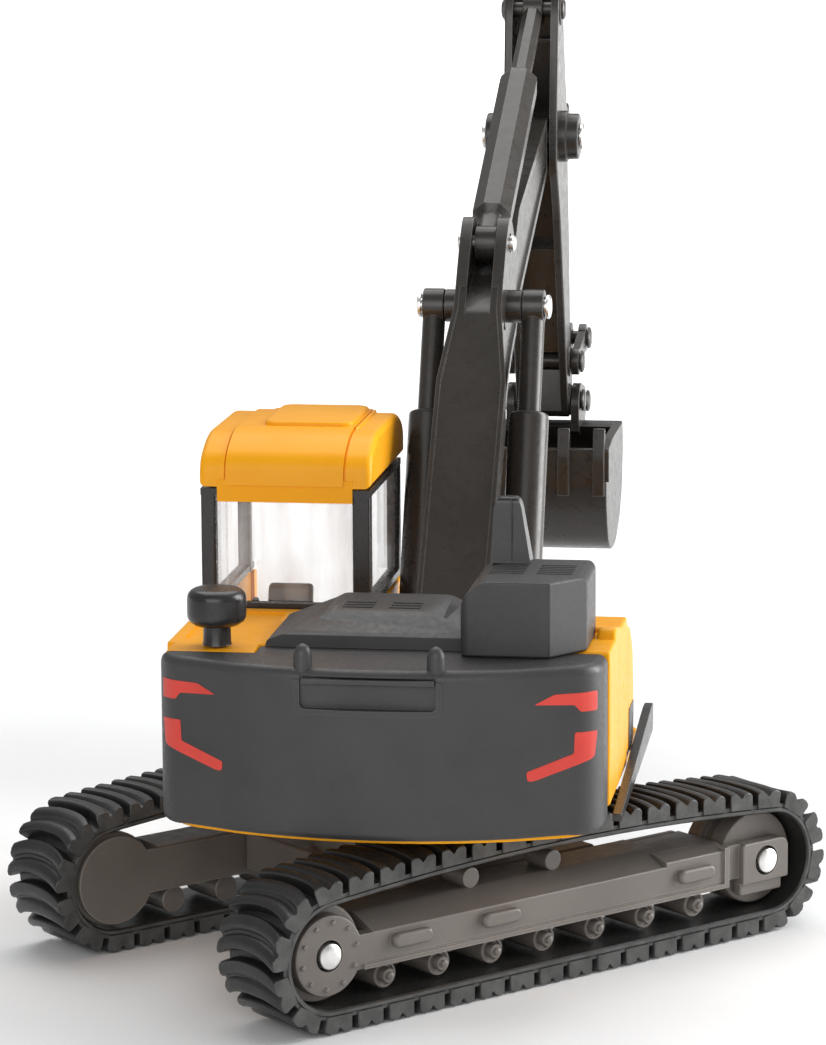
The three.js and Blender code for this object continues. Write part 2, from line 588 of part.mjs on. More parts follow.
function rocker(dy) {
  const plate = link(ROCKER_PIN, ROCKER_TIP, 2.1, 2.2, 1.6, across(0.6, ARM_Y + dy));
  return cut(plate, pin(ROCKER_PIN, BORE_R, across(9)), pin(ROCKER_TIP, BORE_R, across(9)));
}

function pushLink() {
  const plate = link(ROCKER_TIP, BUCKET_LINK, 2.4, 2.2, 1.7, across(3.4));
  const fork = box([ROCKER_TIP[0] - 4, ROCKER_TIP[0] + 4], across(1.7),
    [ROCKER_TIP[1] - 3.2, ROCKER_TIP[1] + 4]);
  return cut(plate, fork, pin(ROCKER_TIP, BORE_R, across(9)),
    pin(BUCKET_LINK, PIN_R + 0.45, across(9)));
}

// ---------------------------------------------------------------- bucket
function bucket() {
  const shell = [[91, 51.2], [90.6, 43, 4], [94.6, 35, 6], [106, 33.4, 8], [115.8, 39.4, 7],
    [117.8, 48, 4], [116.8, 51.8, 0.6], [113, 51.8, 0.4], [110.4, 51.4]];
  const hollow = [[92.4, 54], [92, 43.6, 4], [95.6, 36.4, 6], [105.6, 34.8, 8], [114.4, 40.4, 6],
    [116.2, 47, 4], [112.6, 50, 1], [109.6, 54], [92.4, 58]];
  const ys = across(BUCKET_HALF);
  const parts = [cut(side(shell, ys), side(hollow, across(BUCKET_HALF - 1.2)))];
  const ear = [[109.8, 51], [109.9, 56.4, 2], [112.5, 58.4, 2.2], [119.6, 56.8, 2], [122.2, 54.2, 2],
    [119.4, 51.4, 2], [116.8, 48]];
  for (const dy of [-5.1, 5.1]) parts.push(side(ear, across(0.65, ARM_Y + dy)));
  for (const dy of [-BUCKET_HALF + 0.3, BUCKET_HALF - 0.3]) {
    const cutter = [[90.6, 51.4], [90.6, 46], [95, 48.4], [104, 49.2], [112, 49.4], [112, 52.2],
      [96, 52.2]];
    parts.push(side(cutter, across(0.7, ARM_Y + dy)));
  }
  for (let i = -2; i <= 2; i += 1) {
    const tooth = [[90.2, 44], [92.2, 44], [92.6, 50], [91.9, 54.4], [91.2, 54.4], [89.9, 50]];
    parts.push(side(tooth, across(0.9, ARM_Y + i * TOOTH_PITCH)));
  }
  return cut(join(...parts), pin(BUCKET_PIN, BORE_R, across(9)), pin(BUCKET_LINK, BORE_R, across(9)));
}

// Plain pin with a flat rivet head on each end
function headedPin(at, half, radius = PIN_R, headRadius = 1.7) {
  const head = 0.6;
  return join(pin(at, radius, across(half)),
    pin(at, headRadius, [ARM_Y + half - 0.1, ARM_Y + half + head]),
    pin(at, headRadius, [ARM_Y - half + 0.1, ARM_Y - half - head]));
}

// ---------------------------------------------------------------- assembly
place(undercarriage, 'carbody', carbody(), framePlastic);
place(undercarriage, 'slew_ring', slewRing(), darkPlastic);
place(undercarriage, 'slew_rivet', slewRivet(), steel);
for (const [label, hand] of [['left', 1], ['right', -1]]) {
  place(undercarriage, `track_frame_${label}`, trackFrame(hand), framePlastic);
  place(undercarriage, `rubber_track_${label}`, rubberTrack(hand), rubber);
  place(undercarriage, `drive_wheel_${label}`, wheel(-AXLE_X, hand), framePlastic);
  place(undercarriage, `idler_wheel_${label}`, wheel(AXLE_X, hand), framePlastic);
  place(undercarriage, `drive_rivet_${label}`, axleRivet(-AXLE_X, 28.6, hand), steel);
  place(undercarriage, `idler_rivet_${label}`, axleRivet(AXLE_X, 28.9, hand), steel);
}

place(house, 'swing_frame', swingFrame(), yellowPaint);
place(house, 'body_shell', bodyShell(), yellowPaint);
place(house, 'counterweight', counterweight(), darkPaint);
place(house, 'engine_cover', engineCover(), darkPaint);
place(house, 'exhaust_stack', exhaust(), darkPlastic);
place(house, 'precleaner', precleaner(), darkPlastic);
place(house, 'side_step', sideStep(), darkPlastic);
place(house, 'cab_body', cabBody(), yellowPaint);
place(house, 'cab_frame', cabFrame(), darkPlastic);
place(house, 'cab_glazing', cabGlazing(), clear);
place(house, 'cab_roof', cabRoof(), yellowPaint);
place(house, 'cab_seat', cabSeat(), seatPlastic);
place(house, 'cab_console_left', cabConsole(25.4), seatPlastic);
place(house, 'cab_console_right', cabConsole(12.4), seatPlastic);

place(house, 'boom_foot_pin', headedPin(BOOM_FOOT, 7.1), steel);
place(house, 'lift_foot_pin', headedPin(LIFT_FOOT, 8.85), steel);
place(house, 'boom', boom(), armPlastic);
place(house, 'lift_top_pin', headedPin(LIFT_TOP, 8.85), steel);
for (const [label, hand] of [['left', 1], ['right', -1]]) {
  const y = ARM_Y + hand * LIFT_DY;
  place(house, `lift_barrel_${label}`, barrel(LIFT_FOOT, LIFT_TOP, LIFT, y), armPlastic);
  place(house, `lift_rod_${label}`, rod(LIFT_FOOT, LIFT_TOP, LIFT, y), armPlastic);
}
place(house, 'crowd_foot_pin', headedPin(CROWD_FOOT, 3.5, PIN_R, 1.4), steel);
place(house, 'crowd_barrel', barrel(CROWD_FOOT, CROWD_TOP, CROWD, ARM_Y), armPlastic);
place(house, 'crowd_rod', rod(CROWD_FOOT, CROWD_TOP, CROWD, ARM_Y), armPlastic);
place(house, 'crowd_top_pin', headedPin(CROWD_TOP, 4.3, PIN_R, 1.5), armPlastic);
place(house, 'boom_tip_pin', headedPin(BOOM_TIP, 7.3, PIN_R, 2), steel);
place(house, 'stick', stick(), armPlastic);
place(house, 'tilt_foot_pin', headedPin(TILT_FOOT, 3.4, PIN_R, 1.4), armPlastic);
place(house, 'tilt_barrel', barrel(TILT_FOOT, ROCKER_TIP, TILT, ARM_Y), armPlastic);
place(house, 'tilt_rod', rod(TILT_FOOT, ROCKER_TIP, TILT, ARM_Y), armPlastic);
place(house, 'rocker_left', rocker(5.1), armPlastic);
place(house, 'rocker_right', rocker(-5.1), armPlastic);
place(house, 'rocker_pin', headedPin(ROCKER_PIN, 5.9), armPlastic);
place(house, 'rocker_tip_pin', headedPin(ROCKER_TIP, 5.9), armPlastic);
place(house, 'push_link', pushLink(), armPlastic);
place(house, 'bucket', bucket(), armPlastic);
place(house, 'bucket_pin', headedPin(BUCKET_PIN, 5.95), armPlastic);
place(house, 'bucket_link_pin', headedPin(BUCKET_LINK, 5.95), armPlastic);

excavator.updateMatrixWorld(true);
const bounds = new THREE.Box3().setFromObject(excavator, true);
const middle = bounds.getCenter(new THREE.Vector3());
excavator.position.set(-middle.x, -middle.y, -bounds.min.z);
excavator.updateMatrixWorld(true);

export default excavator;
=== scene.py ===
"""Looks of the toy tracked excavator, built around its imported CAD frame.

Shapes are made in millimetres, the undercarriage in its own space and the house in the space of the slewed
house. Both have the slew axis at x = y = 0 and the ground at z = 0. Each finished piece is then moved into
the row frame, in metres, and rides on its CAD body.
"""
import json
import math

import bmesh
import bpy
from mathutils import Matrix, Vector


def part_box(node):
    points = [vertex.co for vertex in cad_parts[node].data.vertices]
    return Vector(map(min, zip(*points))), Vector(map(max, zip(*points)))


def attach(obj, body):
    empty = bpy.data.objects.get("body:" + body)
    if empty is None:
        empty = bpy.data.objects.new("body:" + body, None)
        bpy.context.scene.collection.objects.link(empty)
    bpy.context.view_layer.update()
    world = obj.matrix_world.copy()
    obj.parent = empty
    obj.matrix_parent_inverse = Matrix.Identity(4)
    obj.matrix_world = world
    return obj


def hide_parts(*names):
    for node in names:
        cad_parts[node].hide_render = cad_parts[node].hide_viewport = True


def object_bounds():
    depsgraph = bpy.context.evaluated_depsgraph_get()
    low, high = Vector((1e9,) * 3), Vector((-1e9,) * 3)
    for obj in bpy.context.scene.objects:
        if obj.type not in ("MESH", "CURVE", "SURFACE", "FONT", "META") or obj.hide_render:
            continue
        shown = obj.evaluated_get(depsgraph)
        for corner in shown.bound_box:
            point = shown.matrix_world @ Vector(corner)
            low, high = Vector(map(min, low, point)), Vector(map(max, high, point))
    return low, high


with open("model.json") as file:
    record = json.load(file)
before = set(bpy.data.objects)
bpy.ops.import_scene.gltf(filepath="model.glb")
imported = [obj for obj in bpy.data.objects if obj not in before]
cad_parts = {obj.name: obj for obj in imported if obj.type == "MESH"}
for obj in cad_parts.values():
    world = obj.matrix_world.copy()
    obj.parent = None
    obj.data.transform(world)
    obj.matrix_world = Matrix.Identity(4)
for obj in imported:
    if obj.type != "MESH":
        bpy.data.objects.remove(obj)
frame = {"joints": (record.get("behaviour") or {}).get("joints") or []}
cad_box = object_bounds()

# ---- spaces and points from the frame
JOINTS = {joint["name"]: joint for joint in frame["joints"]}
SLEW = Vector(JOINTS["house_swing"]["pos_m"])
ARM_AXIS = Vector(JOINTS["boom_lift"]["axis"])
MM = 0.001
CHASSIS = Matrix.Translation((SLEW.x, SLEW.y, 0)) @ Matrix.Scale(MM, 4)
HOUSE = (Matrix.Translation((SLEW.x, SLEW.y, 0))
         @ Matrix.Rotation(math.atan2(-ARM_AXIS.x, ARM_AXIS.y), 4, "Z") @ Matrix.Scale(MM, 4))


def house_point(point):
    return HOUSE.inverted() @ Vector(point)


def pivot(joint):
    """[x, z] of a joint in the arm's plane."""
    point = house_point(JOINTS[joint]["pos_m"])
    return (point.x, point.z)


def node_middle(node):
    low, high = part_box(node)
    point = house_point((low + high) / 2)
    return (point.x, point.z)


ARM_Y = house_point(JOINTS["boom_lift"]["pos_m"]).y
LIFT_DY = house_point(JOINTS["lift_barrel_left_pivot"]["pos_m"]).y - ARM_Y
BOOM_FOOT = pivot("boom_lift")
LIFT_FOOT = pivot("lift_barrel_left_pivot")
LIFT_TOP = pivot("lift_rod_left_pivot")
CROWD_FOOT = pivot("crowd_barrel_pivot")
CROWD_TOP = pivot("crowd_rod_pivot")
BOOM_TIP = pivot("stick_swing")
TILT_FOOT = pivot("tilt_barrel_pivot")
ROCKER_PIN = pivot("rocker_pivot")
ROCKER_TIP = pivot("push_link_pivot")
BUCKET_PIN = pivot("bucket_curl")
BUCKET_LINK = node_middle("bucket_link_pin")

AXLE = CHASSIS.inverted() @ Vector(JOINTS["idler_right"]["pos_m"])
AXLE_X = AXLE.x
AXLE_Z = AXLE.z

# ---- sizes shared by several pieces, mm
GAP = 0.3                   # clearance between pieces
BAND_R = 7.85               # outer radius of the belt's band
BAND_BORE = 6.65
BELT_IN = 17.9
BELT_OUT = 29.7
PAD_COUNT = 40
PAD_FILL = 0.8              # share of the pitch that a pad takes up
BELT_ARCH = 1.6             # how far the top run bulges up at its middle
WHEEL_IN = 19.0
WHEEL_OUT = 26.3
FRAME_IN = 18.6
FRAME_OUT = 28.4
YOKE_IN = WHEEL_OUT + GAP   # inner side of the frame's ends, beside the wheels
FRAME_LOW = 7.2
FRAME_TOP = 13.3
NOSE_TOP = 12.9
ROLLER_Z = 5.2
RIVET_R = 1.7
SLEW_R = 14.5
FLOOR = 21.8
PLATE = 23.6                # top of the swing frame's plate
DECK = 44.0
LEFT = 29.3
RIGHT = -27.8
REAR_SIDE = -30.5
REAR_MID = -38.0
WEIGHT_FRONT = -22.7
WEIGHT_INSET = 0.17          # keeps its finely curved corners inside the coarser solid's
CAB_X0, CAB_Y0 = 0.3, 6.3
CAB_LOW = PLATE + GAP
CAB_FRONT = 37.5            # sill of the low front window
CAB_SILL, CAB_EAVES, CAB_TOP = 43.4, 60.0, 66.8
CAB_BASE = 27 + GAP         # foot of the seat and the consoles
PIN_R = 1.1
BORE_R = PIN_R + GAP
THROUGH = 9                 # half length of a tool that passes right through the arm
EAR_DY = 5.1                # rockers and bucket ears, from the arm's plane
TOOTH_PITCH = 5.4


# ---- outlines
def rounded(points, reach=0.0, step=12):
    """Outline with round corners. A point's third number is how far its arc reaches along its edges."""
    result = []
    count = len(points)
    for i, point in enumerate(points):
        here = Vector(point[:2])
        before = Vector(points[i - 1][:2]) - here
        after = Vector(points[(i + 1) % count][:2]) - here
        length = min(point[2] if len(point) > 2 else reach, 0.48 * before.length, 0.48 * after.length)
        opening = before.angle(after)
        sweep = math.pi - opening
        if length <= 0 or sweep < math.radians(3):
            result.append(here)
            continue
        radius = length * math.tan(opening / 2)
        bisector = (before.normalized() + after.normalized()).normalized()
        middle = here + bisector * radius / math.sin(opening / 2)
        start = here + before.normalized() * length - middle
        end = here + after.normalized() * length - middle
        side = 1 if start.x * end.y - start.y * end.x > 0 else -1
        steps = max(2, math.ceil(math.degrees(sweep) / step))
        for k in range(steps + 1):
            result.append(middle + Matrix.Rotation(side * sweep * k / steps, 2) @ start)
    return result


def area(outline):
    return sum(a.x * b.y - b.x * a.y for a, b in zip(outline, outline[1:] + outline[:1])) / 2


def inset(outline, depth):
    """The outline moved inwards, corner by corner."""
    if depth == 0:
        return outline
    turn = 1 if area(outline) > 0 else -1
    result = []
    for i, here in enumerate(outline):
        back = (here - outline[i - 1]).normalized()
        ahead = (outline[(i + 1) % len(outline)] - here).normalized()
        inward = (back + ahead).orthogonal().normalized() * turn
        result.append(here + inward * depth / max(0.5, inward.dot(back.orthogonal() * turn)))
    return result


# ---- solids
PLANES = {
    "side": lambda u, v, w: (u, w, v),   # [x, z] outline between two y
    "plan": lambda u, v, w: (u, v, w),   # [x, y] outline between two z
    "front": lambda u, v, w: (w, u, v),  # [y, z] outline between two x
}


def stacked(rings):
    """Closed mesh through rings of points of equal count, with flat ends."""
    work = bmesh.new()
    rows = [[work.verts.new(point) for point in ring] for ring in rings]
    count = len(rows[0])
    for low, high in zip(rows, rows[1:]):
        for i in range(count):
            j = (i + 1) % count
            work.faces.new((low[i], low[j], high[j], high[i]))
    work.faces.new(rows[0][::-1])
    work.faces.new(rows[-1])
    return meshed(work)


def meshed(work):
    bmesh.ops.recalc_face_normals(work, faces=work.faces)
    mesh = bpy.data.meshes.new("solid")
    work.to_mesh(mesh)
    work.free()
    return mesh


def prism(plane, points, span, reach=0.0, rim=0.0, step=12):
    """Outline drawn out between two values, with its end rims rounded."""
    outline = rounded(points, reach, step)
    low, high = sorted(span)
    levels = [(0.0, low), (0.0, high)]
    if rim > 0:
        turns = [math.radians(90 * k / 4) for k in range(5)]
        quarter = [(rim * (1 - math.sin(t)), rim * (1 - math.cos(t))) for t in turns]
        levels = ([(depth, low + rise) for depth, rise in quarter]
                  + [(depth, high - rise) for depth, rise in reversed(quarter)])
    place = PLANES[plane]
    return stacked([[place(p.x, p.y, w) for p in inset(outline, depth)] for depth, w in levels])


def block(xs, ys, zs, rim=0.0, corner=0.0):
    """Box with all its edges rounded by rim, or with only its upright ones rounded by corner."""
    low, high = sorted(ys)
    corners = [(xs[0], low), (xs[1], low), (xs[1], high), (xs[0], high)]
    return prism("plan", corners, zs, rim or corner, rim)


def turned(start, end, profile, segments=40, spin=0.0):
    """Turned piece. Its profile is (distance from start towards end, radius)."""
    start, end = Vector(start), Vector(end)
    axis = (end - start).normalized()
    outward = axis.orthogonal().normalized()
    rings = []
    for distance, radius in profile:
        middle = start + axis * distance
        ring = []
        for i in range(segments):
            angle = 2 * math.pi * (i + spin) / segments
            ring.append(middle + Matrix.Rotation(angle, 3, axis) @ outward * max(radius, 1e-3))
        rings.append(ring)
    return stacked(rings)


def rod(start, end, radius, rim=0.0, segments=32):
    length = (Vector(end) - Vector(start)).length
    if rim <= 0:
        return turned(start, end, [(0, radius), (length, radius)], segments)
    rounding = [(0, radius - rim), (0.3 * rim, radius - 0.3 * rim), (rim, radius)]
    return turned(start, end, rounding + [(length - d, r) for d, r in reversed(rounding)], segments)


def arm_span(half, dy=0.0):
    """Both y of a span centred dy from the arm's plane."""
    return [ARM_Y + dy - half, ARM_Y + dy + half]


def across(at, radius, half, rim=0.0, segments=32, dy=0.0):
    """Round piece across the arm, centred dy from its plane."""
    near, far = arm_span(half, dy)
    return rod((at[0], near, at[1]), (at[0], far, at[1]), radius, rim, segments)


def bores(*pivots):
    return [across(at, BORE_R, THROUGH) for at in pivots]


def linked(name, data):
    """New object in the scene."""
    holder = bpy.data.objects.new(name, data)
    bpy.context.scene.collection.objects.link(holder)
    return holder


def evaluated(holder):
    depsgraph = bpy.context.evaluated_depsgraph_get()
    return bpy.data.meshes.new_from_object(holder.evaluated_get(depsgraph))


def combined(first, others, operation):
    holders = [linked("part", mesh) for mesh in (first, *others)]
    for tool in holders[1:]:
        step = holders[0].modifiers.new("join", "BOOLEAN")
        step.operation = operation
        step.solver = "MANIFOLD"
        step.object = tool
    result = evaluated(holders[0])
    for holder in holders:
        used = holder.data
        bpy.data.objects.remove(holder)
        bpy.data.meshes.remove(used)
    return result


def join(first, *others):
    return combined(first, others, "UNION") if others else first


def cut(first, *tools):
    return combined(first, tools, "DIFFERENCE")


def common(first, *others):
    return combined(first, others, "INTERSECT")


def loose(*meshes):
    """Separate solids held in one mesh."""
    work = bmesh.new()
    for mesh in meshes:
        work.from_mesh(mesh)
        bpy.data.meshes.remove(mesh)
    return meshed(work)


# ---- materials
def node_of(tree, kind, **values):
    node = tree.nodes.new(kind)
    for name, value in values.items():
        node.inputs[name.replace("_", " ")].default_value = value
    return node


def noise(tree, source, scale, detail=3.0, stretch=(1, 1, 1)):
    mapping = tree.nodes.new("ShaderNodeMapping")
    mapping.inputs["Scale"].default_value = stretch
    tree.links.new(source, mapping.inputs["Vector"])
    node = node_of(tree, "ShaderNodeTexNoise", Scale=scale, Detail=detail)
    tree.links.new(mapping.outputs["Vector"], node.inputs["Vector"])
    return node.outputs["Fac"]


def mapped(tree, source, low, high, start=0.3, stop=0.7):
    node = node_of(tree, "ShaderNodeMapRange", From_Min=start, From_Max=stop, To_Min=low, To_Max=high)
    tree.links.new(source, node.inputs["Value"])
    return node.outputs["Result"]


def mixed(tree, share, first, second):
    node = tree.nodes.new("ShaderNodeMix")
    node.data_type = "RGBA"
    tree.links.new(share, node.inputs["Factor"])
    for value, socket in ((first, node.inputs["A"]), (second, node.inputs["B"])):
        if isinstance(value, tuple):
            socket.default_value = (*value, 1)
        else:
            tree.links.new(value, socket)
    return node.outputs["Result"]


def edge_highlight_mask(tree, radius):
    """Mask of the painted edge highlight: 0 on flats, rising to 1 on convex and concave edges."""
    bevel = tree.nodes.new("ShaderNodeBevel")
    bevel.samples = 4
    bevel.inputs["Radius"].default_value = radius
    flat = tree.nodes.new("ShaderNodeNewGeometry")
    dot = tree.nodes.new("ShaderNodeVectorMath")
    dot.operation = "DOT_PRODUCT"
    tree.links.new(bevel.outputs["Normal"], dot.inputs[0])
    tree.links.new(flat.outputs["Normal"], dot.inputs[1])
    return mapped(tree, dot.outputs["Value"], 1.0, 0.0, 0.86, 0.995)


# Reach of the painted highlight along edges, which stands in for light caught by rounded edges
EDGE_HIGHLIGHT_REACH = 0.22            # mm, reach of the paler edges


def new_material(name, specular):
    """A material, its node tree, its shader and the coordinates of what it is on."""
    material = bpy.data.materials.new(name)
    material.use_nodes = True
    tree = material.node_tree
    shader = tree.nodes["Principled BSDF"]
    shader.inputs["Specular IOR Level"].default_value = specular
    return material, tree, shader, tree.nodes.new("ShaderNodeTexCoord").outputs["Object"]


def surface(name, dark, light, rough, patch, grain, bump, depth, edge=None, edge_share=0.5, metallic=0.0,
            specular=0.5):
    """Moulded or painted surface: patches between two colours, fine grain in gloss and relief.

    patch and grain are noise scales, and depth is the relief in mm. With an edge colour, edges get paler: a
    painted highlight where light would catch them.
    """
    material, tree, shader, place = new_material(name, specular)
    shader.inputs["Metallic"].default_value = metallic
    broad = noise(tree, place, patch, 4)
    fine = noise(tree, place, grain, 3)
    colour = mixed(tree, mapped(tree, broad, 0, 1), dark, light)
    if edge:
        # Painted highlight: edges are lightened towards the edge colour
        share = edge_highlight_mask(tree, EDGE_HIGHLIGHT_REACH * MM)
        scaled = tree.nodes.new("ShaderNodeMath")
        scaled.operation = "MULTIPLY"
        tree.links.new(share, scaled.inputs[0])
        tree.links.new(mapped(tree, broad, edge_share * 0.5, edge_share), scaled.inputs[1])
        colour = mixed(tree, scaled.outputs["Value"], colour, edge)
    tree.links.new(colour, shader.inputs["Base Color"])
    tree.links.new(mapped(tree, fine, rough * 0.82, rough * 1.18), shader.inputs["Roughness"])
    relief = tree.nodes.new("ShaderNodeBump")
    relief.inputs["Strength"].default_value = bump
    relief.inputs["Distance"].default_value = depth * MM
    tree.links.new(fine, relief.inputs["Height"])
    tree.links.new(relief.outputs["Normal"], shader.inputs["Normal"])
    return material


def glazing_material():
    """Clear cab moulding, faintly milky, with upright smears."""
    material, tree, shader, place = new_material("clear_glazing", 0.9)
    streaks = noise(tree, place, 260, 3, (1, 1, 0.18))
    patches = noise(tree, place, 90, 3)
    colour = mixed(tree, mapped(tree, streaks, 0, 1), (0.97, 0.965, 0.96), (0.86, 0.84, 0.83))
    tree.links.new(colour, shader.inputs["Base Color"])
    tree.links.new(mapped(tree, patches, 0.04, 0.12), shader.inputs["Roughness"])
    tree.links.new(mapped(tree, streaks, 0.07, 0.26, 0.42, 0.72), shader.inputs["Alpha"])
    return material


RUBBER_SIDE = surface("rubber_side", (0.035, 0.035, 0.034), (0.075, 0.075, 0.072), 0.7, 420, 1500, 0.6, 0.06)
# Two colours, roughness, scales of patches and grain, strength and depth of the relief, then for some the
# colour and share of the painted edge highlight, metal and gloss
FINISHES = {
    "yellow_paint": ((0.86, 0.36, 0.006), (0.92, 0.4, 0.01), 0.36, 60, 900, 0.02, 0.01, None, 0, 0, 0.18),
    "grey_paint": ((0.03, 0.029, 0.03), (0.042, 0.04, 0.039), 0.46, 110, 1400, 0.1, 0.015,
                   (0.13, 0.125, 0.12), 0.45),
    "black_plastic": ((0.016, 0.015, 0.015), (0.028, 0.026, 0.025), 0.28, 130, 700, 0.03, 0.01,
                      (0.1, 0.095, 0.09), 0.4),
    "arm_plastic": ((0.024, 0.021, 0.018), (0.036, 0.031, 0.027), 0.3, 80, 700, 0.03, 0.01,
                    (0.26, 0.24, 0.22), 0.6),
    "frame_plastic": ((0.12, 0.106, 0.094), (0.155, 0.137, 0.122), 0.38, 70, 800, 0.05, 0.01,
                      (0.42, 0.38, 0.34), 0.7),
    "rubber": ((0.009, 0.009, 0.009), (0.018, 0.0175, 0.017), 0.38, 240, 1500, 0.45, 0.05,
               (0.1, 0.1, 0.098), 0.5),
    "steel": ((0.72, 0.71, 0.69), (0.86, 0.86, 0.85), 0.32, 300, 1200, 0.04, 0.01, None, 0, 1),
    "seat_plastic": ((0.026, 0.018, 0.014), (0.045, 0.032, 0.026), 0.45, 120, 2000, 0.2, 0.02),
    "red_print": ((0.56, 0.035, 0.022), (0.66, 0.05, 0.034), 0.42, 160, 3000, 0.2, 0.01),
}
SLOTS = {slot: surface(slot, *finish) for slot, finish in FINISHES.items()}
SLOTS["clear_glazing"] = glazing_material()


# ---- pieces
MERGE = 0.004               # points nearer than this become one


def cleaned(mesh, matrix):
    work = bmesh.new()
    work.from_mesh(mesh)
    bpy.data.meshes.remove(mesh)
    bmesh.ops.remove_doubles(work, verts=work.verts, dist=MERGE)
    bmesh.ops.dissolve_degenerate(work, edges=work.edges, dist=MERGE)
    bmesh.ops.dissolve_limit(work, angle_limit=math.radians(0.6), verts=work.verts, edges=work.edges)
    result = meshed(work)
    result.transform(matrix)
    return result


def piece(name, body, mesh, slot, nodes=(), edge=0.22, space=HOUSE, side=None):
    """One finished piece: small round edges, smooth shading, its material, its body and what it replaces."""
    made = linked("piece", cleaned(mesh, space))
    if edge > 0:
        bevel = made.modifiers.new("edges", "BEVEL")
        bevel.width = edge * MM
        bevel.segments = 2
        bevel.limit_method = "ANGLE"
        bevel.angle_limit = math.radians(38)
        bevel.use_clamp_overlap = True
        bevel.harden_normals = False
    weights = made.modifiers.new("normals", "WEIGHTED_NORMAL")
    weights.keep_sharp = True
    for polygon in made.data.polygons:
        polygon.use_smooth = True
    made.data.set_sharp_from_angle(angle=math.radians(40))
    shaped = evaluated(made)
    rough = made.data
    made.modifiers.clear()
    made.data = shaped
    bpy.data.meshes.remove(rough)
    made.name = name
    shaped.name = name
    shaped.materials.clear()
    shaped.materials.append(SLOTS[slot])
    if side:
        shaped.materials.append(side)
        for polygon in shaped.polygons:
            polygon.material_index = 1 if abs(polygon.normal.y) > 0.8 else 0
    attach(made, body)
    if nodes:
        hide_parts(*nodes)
    return made


# ---- undercarriage
def belt_point(distance, height, y):
    """Point of the belt at a distance along its path and a height over its band."""
    run = 2 * AXLE_X
    bend = math.pi * BAND_R
    s = distance % (2 * (run + bend))
    radius = BAND_R + height
    if s < run:
        return (-AXLE_X + s, y, AXLE_Z - radius)
    if s < run + bend:
        angle = -math.pi / 2 + (s - run) / BAND_R
        return (AXLE_X + radius * math.cos(angle), y, AXLE_Z + radius * math.sin(angle))
    if s < 2 * run + bend:
        x = AXLE_X - (s - run - bend)
        return (x, y, AXLE_Z + radius + BELT_ARCH * (1 - (x / AXLE_X) ** 2))
    angle = math.pi / 2 + (s - 2 * run - bend) / BAND_R
    return (-AXLE_X + radius * math.cos(angle), y, AXLE_Z + radius * math.sin(angle))


PAD_PITCH = (4 * AXLE_X + 2 * math.pi * BAND_R) / PAD_COUNT
PAD_SWEEP = 1.2             # how far a pad is bowed along the belt, from its ends to its middle
# Pad section: (share of the half length along the belt, height over the band)
PAD_SECTION = [(-1, -0.4), (-1, 1.35), (-0.9, 1.7), (-0.65, 1.85), (-0.35, 1.8), (-0.18, 1.55), (-0.08, 1.2),
               (0.08, 1.15), (0.2, 1.5), (0.4, 1.8), (0.7, 1.88), (0.92, 1.75), (1, 1.4), (1, -0.4)]


def belt_pad(index, hand):
    half = PAD_PITCH * PAD_FILL / 2
    middle = (BELT_IN + BELT_OUT) / 2
    reach = (BELT_OUT - BELT_IN) / 2
    rings = []
    for share in (-1, -0.98, -0.85, -0.65, -0.4, -0.15, 0.15, 0.4, 0.65, 0.85, 0.98, 1):
        lead = PAD_SWEEP * (1 - abs(share) ** 2.4) - PAD_SWEEP / 2
        shrink = 0.94 if abs(share) == 1 else 1
        y = hand * (middle + reach * share)
        rings.append([belt_point(index * PAD_PITCH + half * along * shrink - lead,
                                 rise * (shrink if rise > 0 else 1), y) for along, rise in PAD_SECTION])
    return stacked(rings)


def belt_band(hand):
    """Closed band with a raised rib along each edge of its inner side."""
    section = [(BELT_IN + 0.05, -1.0), (BELT_IN + 0.3, -1.2), (BELT_OUT - 0.3, -1.2), (BELT_OUT - 0.05, -1.0),
               (BELT_OUT - 0.05, -0.6), (BELT_OUT - 0.25, -0.45), (BELT_OUT - 0.25, 0), (BELT_IN + 0.25, 0),
               (BELT_IN + 0.25, -0.45), (BELT_IN + 0.05, -0.6)]
    steps = PAD_COUNT * 4
    work = bmesh.new()
    rows = [[work.verts.new(belt_point(k * PAD_PITCH / 4, height, hand * y)) for y, height in section]
            for k in range(steps)]
    for k in range(steps):
        ahead = rows[(k + 1) % steps]
        for i in range(len(section)):
            j = (i + 1) % len(section)
            work.faces.new((rows[k][i], rows[k][j], ahead[j], ahead[i]))
    return meshed(work)


def rubber_belt(label, hand):
    pads = loose(*[belt_pad(index, hand) for index in range(PAD_COUNT)])
    piece(f"belt_{label}", "chassis", join(belt_band(hand), pads), "rubber",
          [f"rubber_track_{label}"], 0.1, CHASSIS, RUBBER_SIDE)


def wheel(label, hand, kind, x):
    start, end = (x, hand * WHEEL_IN, AXLE_Z), (x, hand * WHEEL_OUT, AXLE_Z)
    width = WHEEL_OUT - WHEEL_IN
    outer = BAND_BORE - GAP
    groove = 5.5
    profile = [(0, 5.9), (0.25, outer), (width / 2 - 1.2, outer), (width / 2 - 1, groove),
               (width / 2 + 1, groove), (width / 2 + 1.2, outer), (width - 0.35, outer), (width - 0.08, 6.15),
               (width, 5.8)]
    hub = rod((x, hand * (WHEEL_IN - 1), AXLE_Z), (x, hand * (WHEEL_OUT + 1), AXLE_Z), RIVET_R + 0.2)
    drum = cut(turned(start, end, profile, 56), hub)
    piece(f"{kind}_wheel_{label}_turned", f"{kind}_wheel_{label}", drum, "frame_plastic",
          [f"{kind}_wheel_{label}"], 0.1, CHASSIS)


def axle_rivet(label, hand, kind, x, face):
    foot = WHEEL_IN + 0.4
    length = face + 0.3 - foot
    profile = [(0, 1.4), (0.3, RIVET_R), (length - 0.45, RIVET_R), (length - 0.2, 1.6), (length - 0.04, 1.25),
               (length, 0.5)]
    shank = turned((x, hand * foot, AXLE_Z), (x, hand * face, AXLE_Z), profile, 40)
    piece(f"{kind}_rivet_{label}_turned", "chassis", shank, "steel", [f"{kind}_rivet_{label}"], 0, CHASSIS)


